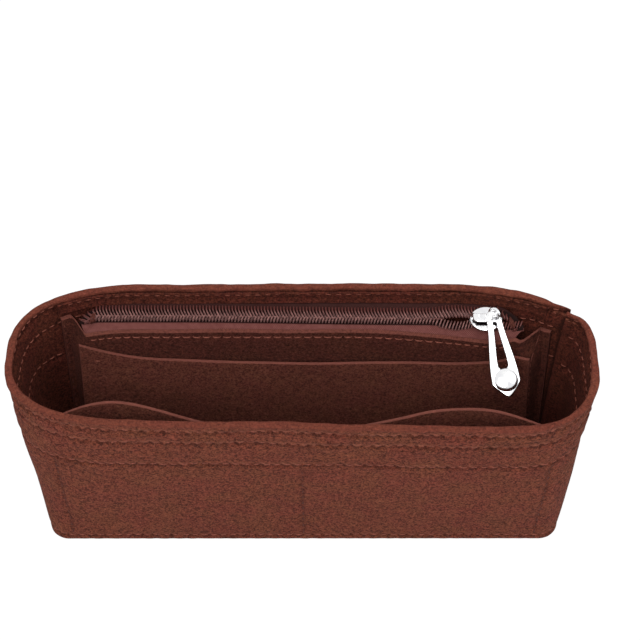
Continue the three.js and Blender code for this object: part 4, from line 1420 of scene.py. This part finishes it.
# A plate with a rounded edge. Its outline is a times |cos| and b times |sin|, both waves raised to 2 divided
# by power. It shrinks towards the middle for both faces, and the top is crowned by crown times (1 - r squared).
def roundPlate(middleX, a, b, power, low, high, crown=0.0, rounding=0.3, count=80, forward=0.0):
    angle = np.arange(count) * 2 * math.pi / count
    x, y = a * softened(np.cos(angle), 2 / power), b * softened(np.sin(angle), 2 / power)
    bends, inset = plateRings["bends"], rounding / b
    under, over = np.radians(np.linspace(-90, 0, bends)), np.radians(np.linspace(0, 90, bends))
    edge = [1 - inset * (1 - np.cos(under)), 1 - inset * (1 - np.cos(over))]
    r = np.concatenate([plateRings["under"], *edge, plateRings["over"]])[:, None]
    edge = [low + rounding + rounding * np.sin(under), high - rounding + rounding * np.sin(over)]
    z = [[low] * len(plateRings["under"]), *edge, [high] * len(plateRings["over"])]
    z = np.concatenate(z)[:, None]
    top = np.clip((z - low) / (high - low), 0, 1) ** plateRings["crownPower"]
    z = z + crown * top * (1 - r * r)
    points = np.stack(np.broadcast_arrays(middleX + x * r, y * r - forward, z), -1)
    return joinable(points, gridFaces(len(r), count), endCaps(len(r), count))


# A rod of rounded section carried along a path: half the width times |cos| to a power, and half the
# thickness times |sin| to the same power
def sweptRod(path, wide, thick, widthAxis, count=16, square=0.6):
    ahead = np.gradient(path, axis=0)
    ahead /= np.linalg.norm(ahead, axis=1, keepdims=True)
    widthWay = widthAxis - ahead * (ahead @ widthAxis)[:, None]
    widthWay = widthWay / np.linalg.norm(widthWay, axis=1, keepdims=True)
    thickWay = np.cross(ahead, widthWay)
    angle = np.arange(count) * 2 * math.pi / count
    u, v = softened(np.cos(angle), square) / 2, softened(np.sin(angle), square) / 2
    wide, thick = (np.broadcast_to(size, len(path))[:, None, None] for size in (wide, thick))
    points = path[:, None] + widthWay[:, None] * u[None, :, None] * wide
    points = points + thickWay[:, None] * v[None, :, None] * thick
    return joinable(points, gridFaces(len(path), count), endCaps(len(path), count))


def joinParts(name, parts, shades=None):  # one mesh of the parts of a casting
    points, faces, start = [], [], 0
    for flat, part in parts:
        points.append(flat)
        faces += [[corner + start for corner in face] for face in part]
        start += len(flat)
    points = np.concatenate(points)
    attributes = {"inside": np.zeros(len(points)) if shades is None else shades}
    return addMesh(name, points, np.zeros((0, 4), int), faces, attributes)


def makeSlider():
    middle, half, wide = slider["x"], slider["length"] / 2, slider["halfWidth"]
    lowerTop, lowerWide = zipSizes["tapeFoot"] - slider["gap"], slider["lowerHalfWidth"]
    power, rounding = slider["upperPower"], slider["upperRounding"]
    upper = (power, plateFoot, plateTop, slider["crown"], rounding)
    lower = (slider["lowerPower"], lowerTop - slider["plate"], lowerTop, 0.0, slider["lowerRounding"])
    parts = [
        roundPlate(middle, half, wide, *upper, forward=slider["forward"]),
        roundPlate(middle, half, lowerWide, *lower),
    ]
    for sign in (-1, 1):  # the flanges that turn down towards the tape at both sides
        x = np.linspace(-half * slider["flangeStart"], half * slider["flangeStop"], 16)
        edge = slider["flangeAt"] * (1 - np.abs(x / half) ** 2) ** 0.5
        height = 0 * x + (plateFoot + zipSizes["tapeTop"] + slider["gap"]) / 2
        path = np.stack([middle + x, sign * edge, height], -1)
        tall = plateFoot - zipSizes["tapeTop"] - slider["gap"]
        parts.append(sweptRod(path, tall, slider["flangeThick"], np.array([0.0, 0.0, 1.0])))
    # the bridge: up at the right, over to the left and down, narrower and further back at the right
    span, shoulder = half - slider["strapInset"], slider["shoulder"]
    bend = np.radians(np.linspace(0, 90, 9))
    turn = [span - shoulder + shoulder * np.cos(bend), axisAbove - shoulder + shoulder * np.sin(bend)]
    right = np.stack(turn, -1)
    level = np.linspace(span - shoulder - 0.6, shoulder + 0.6 - span, 12)
    flat = np.stack([level, np.full(12, axisAbove)], -1)
    feet = np.array([[span, plateTop - 0.4], [span, plateTop + 0.5]])
    route = np.concatenate([feet, right, flat, (right * [-1, 1])[::-1], (feet * [-1, 1])[::-1]])
    along = route[:, 0]
    neck = smooth((along - slider["neckFrom"]) / slider["neckOver"])
    eased = slider["strapForward"] * (1 - neck) * smooth((span + 0.3 + along) / slider["endOver"])
    path = np.stack([middle + along, -eased, route[:, 1]], -1)
    ends = smooth((span + 0.3 - np.abs(along)) / slider["endOver"])
    width = mix(mix(slider["strapEnd"], slider["strapWidth"], ends), slider["strapNeck"], neck)
    acrossZip = np.array([0.0, 1.0, 0.0])
    parts.append(sweptRod(path, width, slider["strap"], acrossZip, square=0.75))
    postAt = middle - half + slider["postInset"]
    post = np.array([[postAt, 0.0, lowerTop - 0.3], [postAt, 0.0, plateFoot + 0.3]])
    parts.append(sweptRod(post, *slider["post"], acrossZip))
    # painted shade on the top plate: a slot under the bridge and a hole near its left end, where shade falls
    shades = [np.zeros(len(flatPoints)) for flatPoints, faces in parts]
    along, out, height = (parts[0][0] - [middle, 0, 0]).T
    slot = np.abs(out - slider["slotShadeAt"][0]) < slider["slotShadeAt"][1]
    slot = slot * (np.abs(along) < half - slider["slotShadeInset"])
    hole = np.abs(out - slider["holeShadeAt"][0]) < slider["holeShadeAt"][1]
    hole = hole * (np.abs(along - slider["holeShadeAlong"][0]) < slider["holeShadeAlong"][1])
    shades[0] = np.clip(slot + hole, 0, 1) * (height > plateTop - 0.4) * 1.0
    leaned = [(leanZip(flatPoints), faces) for flatPoints, faces in parts]
    return joinParts("sliderBody", leaned, np.concatenate(shades))


finishPiece(makeSlider(), brightMetal, "slider", "bright_metal", ["slider_body"])

pull = {
    "tilt": 28.0,
    "slant": 9.8,
    "offsetX": 2.4,
    "length": 36.5,
    "thickness": 1.8,
    "halfWidth": 6.0,
    "domeAt": 29.0,
    "domeRadius": 5.2,
    "domeRise": 2.0,
    "neckAt": 2.7,
    "neckHalf": 3.2,
    "slotStart": 3.7,
    "slotEnd": 24.4,
    "slotHalf": 2.15,
    "slotNeck": 0.8,
    "eyeRadius": 1.8,
    "wire": 1.5,
    "eyeHalf": 1.7,
    "steps": 80,
    "tipGap": 0.05,
    "slotFade": (0.8, 1.6),
    "square": 0.5,
    "sides": 20,
    "domeSides": 40,
    "domeFoot": 0.2,
}


def hung(points):  # from the pull's own frame, length along +Y and face up, to where it hangs
    slant, tilt = math.radians(pull["slant"]), math.radians(pull["tilt"])
    x = -(points[..., 0] * math.cos(slant) - points[..., 1] * math.sin(slant))
    y = -(points[..., 0] * math.sin(slant) + points[..., 1] * math.cos(slant))
    z = points[..., 2]
    lean = np.stack([x, y * math.cos(tilt) - z * math.sin(tilt), y * math.sin(tilt) + z * math.cos(tilt)], -1)
    return lean + pullAxis + [pull["offsetX"], 0, 0]


def pullHalfWidth(y):  # half the plate's width at a place along it
    neck, wide = pull["neckHalf"], pull["halfWidth"]
    body = mix(neck, wide, smooth((y - pull["neckAt"]) / (pull["domeAt"] - pull["neckAt"])) ** 0.9)
    tip = np.clip((pull["length"] - y) / (pull["length"] - pull["domeAt"] - 1.5), 0, 1) ** 0.8
    return body * np.where(y > pull["domeAt"] + 1.5, tip, 1.0)


# The plate with its slot: a ring whose section is a rounded rectangle between the outer outline and the
# slot's, both walked round together by the same angle
def makePlate():
    steps, slotStart, slotEnd = pull["steps"], pull["slotStart"], pull["slotEnd"]
    t = np.linspace(0, 1, steps)
    sides = np.concatenate([np.full(steps, 1.0), np.full(steps - 1, -1.0)])
    neck, tip = pull["neckAt"], pull["length"] - pull["tipGap"]
    y = np.concatenate([mix(neck, tip, t), mix(tip, neck, t)[1:]])
    outer = np.stack([sides * pullHalfWidth(y), y], -1)[:-1]
    y = mix(slotStart, slotEnd, np.concatenate([t, t[::-1][1:]]))
    grow = mix(pull["slotNeck"], pull["slotHalf"], smooth((y - slotStart) / (slotEnd - slotStart)))
    fadeIn, fadeOut = pull["slotFade"]
    ends = np.clip((slotEnd - y) / fadeOut, 0, 1) ** 0.5 * np.clip((y - slotStart) / fadeIn, 0, 1) ** 0.5
    inner = np.stack([sides * grow * ends, y], -1)[:-1]
    count = pull["sides"]
    angle = np.arange(count) * 2 * math.pi / count
    u = (1 + softened(np.cos(angle), pull["square"])) / 2
    v = softened(np.sin(angle), pull["square"]) * pull["thickness"] / 2
    plan = mix(inner[:, None], outer[:, None], u[None, :, None])
    points = np.concatenate([plan, np.broadcast_to(v[None, :, None], plan.shape[:2] + (1,))], -1)
    rows = len(points)
    faces = gridFaces(rows + 1, count)
    faces = np.where(faces >= rows * count, faces - rows * count, faces)
    return joinable(hung(points), faces)


def makeDome():
    count, foot = pull["domeSides"], pull["domeFoot"]
    bend = np.linspace(0, math.pi / 2, 9)
    r = np.concatenate([[0.01, 0.6], np.cos(bend)[:-1], [0.3 * np.cos(bend)[-2], 0.01]]) * pull["domeRadius"]
    rise = 0.3 + pull["domeRise"] * np.sin(bend)[:-1]
    z = np.concatenate([[foot, foot], rise, [0.3 + pull["domeRise"]] * 2])
    angle = np.arange(count) * 2 * math.pi / count
    x, y = r[:, None] * np.cos(angle), pull["domeAt"] + r[:, None] * np.sin(angle)
    points = np.stack(np.broadcast_arrays(x, y, z[:, None]), -1)
    return joinable(hung(points), gridFaces(len(r), count), endCaps(len(r), count))


def makeEye():
    neck, half, radius = pull["neckHalf"] - pull["wire"] / 2, pull["eyeHalf"], pull["eyeRadius"]
    stations = np.array([
        [-neck, pull["neckAt"] + 1.2, 0],
        [-neck, pull["neckAt"] * 0.8, -0.3 * radius],
        [-half * 0.95, pull["neckAt"] * 0.35, -0.8 * radius],
        [-half * 0.8, 0, -radius],
        [-half * 0.5, -0.7 * radius, -0.7 * radius],
        [0, -radius, 0],
        [half * 0.8, -0.7 * radius, 0.7 * radius],
        [half * 1.2, 0, radius],
        [half * 1.4, pull["neckAt"] * 0.35, 0.8 * radius],
        [neck, pull["neckAt"] * 0.8, 0.3 * radius],
        [neck, pull["neckAt"] + 1.2, 0],
    ])
    t = np.linspace(0, len(stations) - 1, 61)
    path = np.empty((len(t), 3))
    for axis in range(3):  # smooth through the stations with a cubic between neighbours
        left = np.clip(np.floor(t).astype(int), 0, len(stations) - 2)
        over = t - left
        p = stations[:, axis]
        slope = np.gradient(p)
        h00, h10 = 2 * over**3 - 3 * over**2 + 1, over**3 - 2 * over**2 + over
        h01, h11 = -2 * over**3 + 3 * over**2, over**3 - over**2
        path[:, axis] = h00 * p[left] + h10 * slope[left] + h01 * p[left + 1] + h11 * slope[left + 1]
    path[:, 0] *= -1
    return sweptRod(hung(path), pull["wire"], pull["wire"], np.array([1.0, 0.0, 0.0]), square=1.0, count=12)


pullTab = joinParts("pullTab", [makePlate(), makeDome(), makeEye()])
finishPiece(pullTab, brightMetal, "pull", "bright_metal", ["pull_tab"])
print("slider and pull made")


# Both ends of each stitch and the way out of the face at its middle, from three lists of heights and
# distances on a face that lies at some depth
def onFace(first, last, middle, depthOf, inwards):
    start, end = (wallPoint(z, distance, depthOf(z, distance)) for z, distance in (first, last))
    z, distance = middle
    depth = depthOf(z, distance)
    return start, end, wallPoint(z, distance, depth + inwards) - wallPoint(z, distance, depth)


def wallOuter(z, distance):
    face = box["felt"] / 2 * (1 - bandThin(z, distance)) + lapNear(z, distance)
    return face + bandShift(z, distance) + sewnDent(z, distance) + wallSwell(z, distance)


def wallInner(z, distance):
    face = box["felt"] / 2 * (1 + bandThin(z, distance)) + lapNear(z, distance)
    return face + bandShift(z, distance) - pressed(z) - sewnDent(z, distance) + wallSwell(z, distance)


def innerFaceWithStrip(z, distance):
    side = distance - aroundAt(z)
    reach = pouch["halfLength"] + pouch["flange"] - 1
    onStrip = (np.abs(side) < reach) & (z > strip["foot"] + 1)
    wallMove = swellInwards(z, distance) * strip["wallShare"]
    stripDepth = stripFace(z, side) + strip["felt"] - 0.3 + wallMove
    wall = wallInner(z, distance)
    return np.where(onStrip, np.maximum(stripDepth, wall), wall)


def sewRow(name, number, node, innerFace):
    foot, length = rowHeights[number], sewing["stitchLength"]
    first, last = lapPlaces(foot)
    count = int((last - first - 2 * sewing["firstHole"]) / sewing["pitch"])
    starts = first + sewing["firstHole"] + np.arange(count) * sewing["pitch"]
    faces = []
    for face, inwards, phase in ((wallOuter, -1.0, 0.0), (innerFace, 1.0, sewing["pitch"] / 2)):
        up = sewing["innerLift"] if inwards > 0 and number < 3 else 0.0
        ways = [starts + phase, starts + phase + length, starts + phase + length / 2]
        a, b, out = onFace(*((rowHeight(number, way) + up, way) for way in ways), face, inwards)
        a[:, 2] += rimLift(foot, ways[0])
        b[:, 2] += rimLift(foot, ways[1])
        if number == 0 and inwards > 0:
            a[:, 2] += sewing["topInnerLift"]
            b[:, 2] += sewing["topInnerLift"]
        faces.append((a, b, out))
    a, b, out = (np.concatenate(part) for part in zip(*faces))
    tilt = np.random.default_rng(sewing["seed"] + number).normal(0, sewing["tilt"], len(a))
    a[:, 2] += tilt
    b[:, 2] -= tilt
    finishPiece(addStitches(name, a, b, out), thread, "insert", "thread", [node])


for number in range(3):
    sewRow("rimStitches" + str(number + 1), number, "rim_stitch_row_" + str(number + 1), innerFaceWithStrip)
sewRow("baseStitches", 3, "base_stitch_row", wallInner)


def sewUpright(name, node, low, high, distanceOf, depthOf, inwards, pitch=sewing["seamPitch"]):
    start, length = np.arange(low, high - pitch * 0.8, pitch), pitch * sewing["seamShare"]
    spots = [(z, distanceOf(z)) for z in (start, start + length, start + length / 2)]
    stitches = addStitches(name, *onFace(*spots, depthOf, inwards), width=0.8, rise=0.1, sink=0.5)
    finishPiece(stitches, seamThread, "insert", "thread", [node])


def alongLap(z):
    return lapPlaces(z)[1] - sewing["lapSeam"]


frontSeams = [
    ("frontCentreStitches", "front_centre_stitch", 0.0),
    ("frontLeftStitches", "front_left_stitch", -sewing["pocketSeam"]),
    ("frontRightStitches", "front_right_stitch", sewing["pocketSeam"]),
]
for name, node, side in frontSeams:
    sewUpright(name, node, seamLow, seamHigh, lambda z, side=side: onFront(z, side), wallOuter, -1.0)
sewUpright("lapStitches", "lap_stitch", seamLow, seamHigh, alongLap, wallOuter, -1.0)
pouchSeams = [
    ("pouchLeftStitches", "pouch_left_stitch", -sewing["pouchSeam"]),
    ("pouchRightStitches", "pouch_right_stitch", sewing["pouchSeam"]),
]
for name, node, side in pouchSeams:
    low, high = pouch["foot"] + sewing["pouchEase"], pouch["top"] - sewing["pouchEase"]
    along = lambda z, side=side: onRear(z, side)
    face = lambda z, distance, side=side: pouchFace(z, side) + pouch["felt"]
    sewUpright(name, node, low, high, along, face, 1.0, sewing["pitch"])


def sewPouchTop():
    start = np.arange(-94.0, 90.0, sewing["pitch"])
    ends = []
    for side in (start, start + sewing["stitchLength"]):
        z = pouch["top"] - pouch["rowBelow"] + 0 * side
        face = wallPoint(z, onRear(z, side), pouchFace(z, side) + pouch["felt"] - 0.1)
        face[:, 2] -= pouchDrop(side)
        ends.append(face)
    out = np.tile([0.0, -1.0, 0.0], (len(start), 1))
    return addStitches("pouchTopStitches", ends[0], ends[1], out, width=0.8, rise=0.2)


finishPiece(sewPouchTop(), thread, "insert", "thread", ["pouch_top_stitch"])


def sewTacks(name, node, sign):  # a short bar of stitches at a top corner of the card pocket
    side = sign * (card["halfLength"] - 3.2) + np.array([0.0, 0.7, 1.4])
    z = np.full(3, card["top"] - 2.0)
    depth = pouchFace(z, side) + pouch["felt"] + card["restGap"] + card["felt"]
    a = wallPoint(z, onRear(z, side), depth)
    b = wallPoint(z + 1.4, onRear(z, side), depth)
    out = np.tile([0.0, -1.0, 0.0], (3, 1))
    bar = addStitches(name, a, b, out, width=0.5, thickness=0.4, rise=0.1)
    finishPiece(bar, thread, "insert", "thread", [node])


sewTacks("cardTackLeft", "card_tack_left", -1)
sewTacks("cardTackRight", "card_tack_right", 1)


def sewEnd(name, node, first):  # loops of thread over both coils
    station = first + np.arange(4) * 0.62
    ends = []
    for sign in (-1, 1):
        x, off, down = chainLine(station, sign)[:3]
        ends.append(leanZip(np.stack([x, off + sign * 2.4, zipSizes["coilTop"] - down - 0.3], -1)))
    lean = math.radians(zipSizes["lean"])
    out = np.tile([0.0, -math.sin(lean), math.cos(lean)], (4, 1))
    loops = addStitches(name, ends[0], ends[1], out, width=0.5, thickness=0.4, rise=0.6, sink=1.0, rings=10)
    finishPiece(loops, seamThread, "insert", "thread", [node])


sewEnd("zipTackLeft", "zip_end_tack_left", -90.2)
sewEnd("zipTackRight", "zip_end_tack_right", 88.6)
print("stitches made")

# Floor, light and camera
stage = {
    "floorHalf": 4.0,
    "floorShare": 0.85,
    "floorGlow": 1.07,
    "sky": 0.54,
    "aim": (0, 0, 0.05),
    "key": {"place": (-0.2, -0.72, 1.15), "size": (0.8, 0.8), "watts": 11.5},
    "fill": {"place": (0.7, -0.1, 1.1), "size": (0.9, 0.9), "watts": 5.0},
}


def seenRays(shader):  # above 0 for what the camera sees straight, mirrored or through glass
    straight = shader.node("ShaderNodeLightPath", output="Is Camera Ray")
    return straight + straight.beside("Is Glossy Ray") + straight.beside("Is Transmission Ray")


def makeStage():
    half = stage["floorHalf"]
    mesh = bpy.data.meshes.new("floor")
    corners = [(-half, -half, 0), (half, -half, 0), (half, half, 0), (-half, half, 0)]
    mesh.from_pydata(corners, [], [(0, 1, 2, 3)])
    floor = bpy.data.objects.new("floor", mesh)
    bpy.context.scene.collection.objects.link(floor)
    shader = Shader(bpy.data.materials.new("floor"))
    seen = seenRays(shader)
    white = shader.node("ShaderNodeEmission", None, {"Color": (1, 1, 1, 1), "Strength": stage["floorGlow"]})
    shader.set(Base_Color=(0.86, 0.86, 0.86, 1), Roughness=0.9, Specular_IOR_Level=0.1)
    share = seen.math("MINIMUM", seen, 1.0) * stage["floorShare"]
    plain = Wire(shader, shader.surface.outputs[0])
    both = shader.node("ShaderNodeMixShader", None, {0: share, 1: plain, 2: white})
    shader.tree.links.new(both.socket, shader.tree.nodes["Material Output"].inputs["Surface"])
    mesh.materials.append(shader.owner)
    floor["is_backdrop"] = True


def makeWorld():  # the sky lights at its own level and looks white
    world = bpy.data.worlds.new("studio")
    bpy.context.scene.world = world
    shader = Shader(world, "Background")
    values = {"Value": seenRays(shader), "To Min": stage["sky"], "To Max": 1.0}
    shader.feed("Strength", shader.node("ShaderNodeMapRange", {"clamp": True}, values))
    shader.set(Color=(1, 1, 1, 1))


makeStage()
makeWorld()


def addLamp(name, place, size, watts):
    light = bpy.data.lights.new(name, "AREA")
    light.shape = "RECTANGLE"
    light.size, light.size_y = size
    light.energy = watts
    lamp = bpy.data.objects.new(name, light)
    bpy.context.scene.collection.objects.link(lamp)
    lamp.location = place
    way = np.array(stage["aim"]) - np.array(place)
    lamp.rotation_euler = (math.atan2(math.hypot(way[0], way[1]), -way[2]), 0, math.atan2(-way[0], way[1]))


addLamp("keyLamp", **stage["key"])
addLamp("fillLamp", **stage["fill"])

view = {
    "place": (7.17, -390.85, 612.98),
    "pitch": 50.9,
    "yaw": 0.04,
    "focal": 1545.6,
    "frame": 640,
    "sensor": 36.0,
}


def makeCamera():
    camera = bpy.data.cameras.new("camera")
    camera.sensor_width = view["sensor"]
    camera.lens = view["focal"] / view["frame"] * view["sensor"]
    camera.clip_start, camera.clip_end = 0.02, 30.0
    holder = bpy.data.objects.new("camera", camera)
    bpy.context.scene.collection.objects.link(holder)
    holder.location = [length * mm for length in view["place"]]
    holder.rotation_euler = (math.radians(90 - view["pitch"]), 0, -math.radians(view["yaw"]))
    bpy.context.scene.camera = holder


makeCamera()
bpy.context.scene.view_settings.view_transform = "Standard"
print("stage made")

low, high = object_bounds()
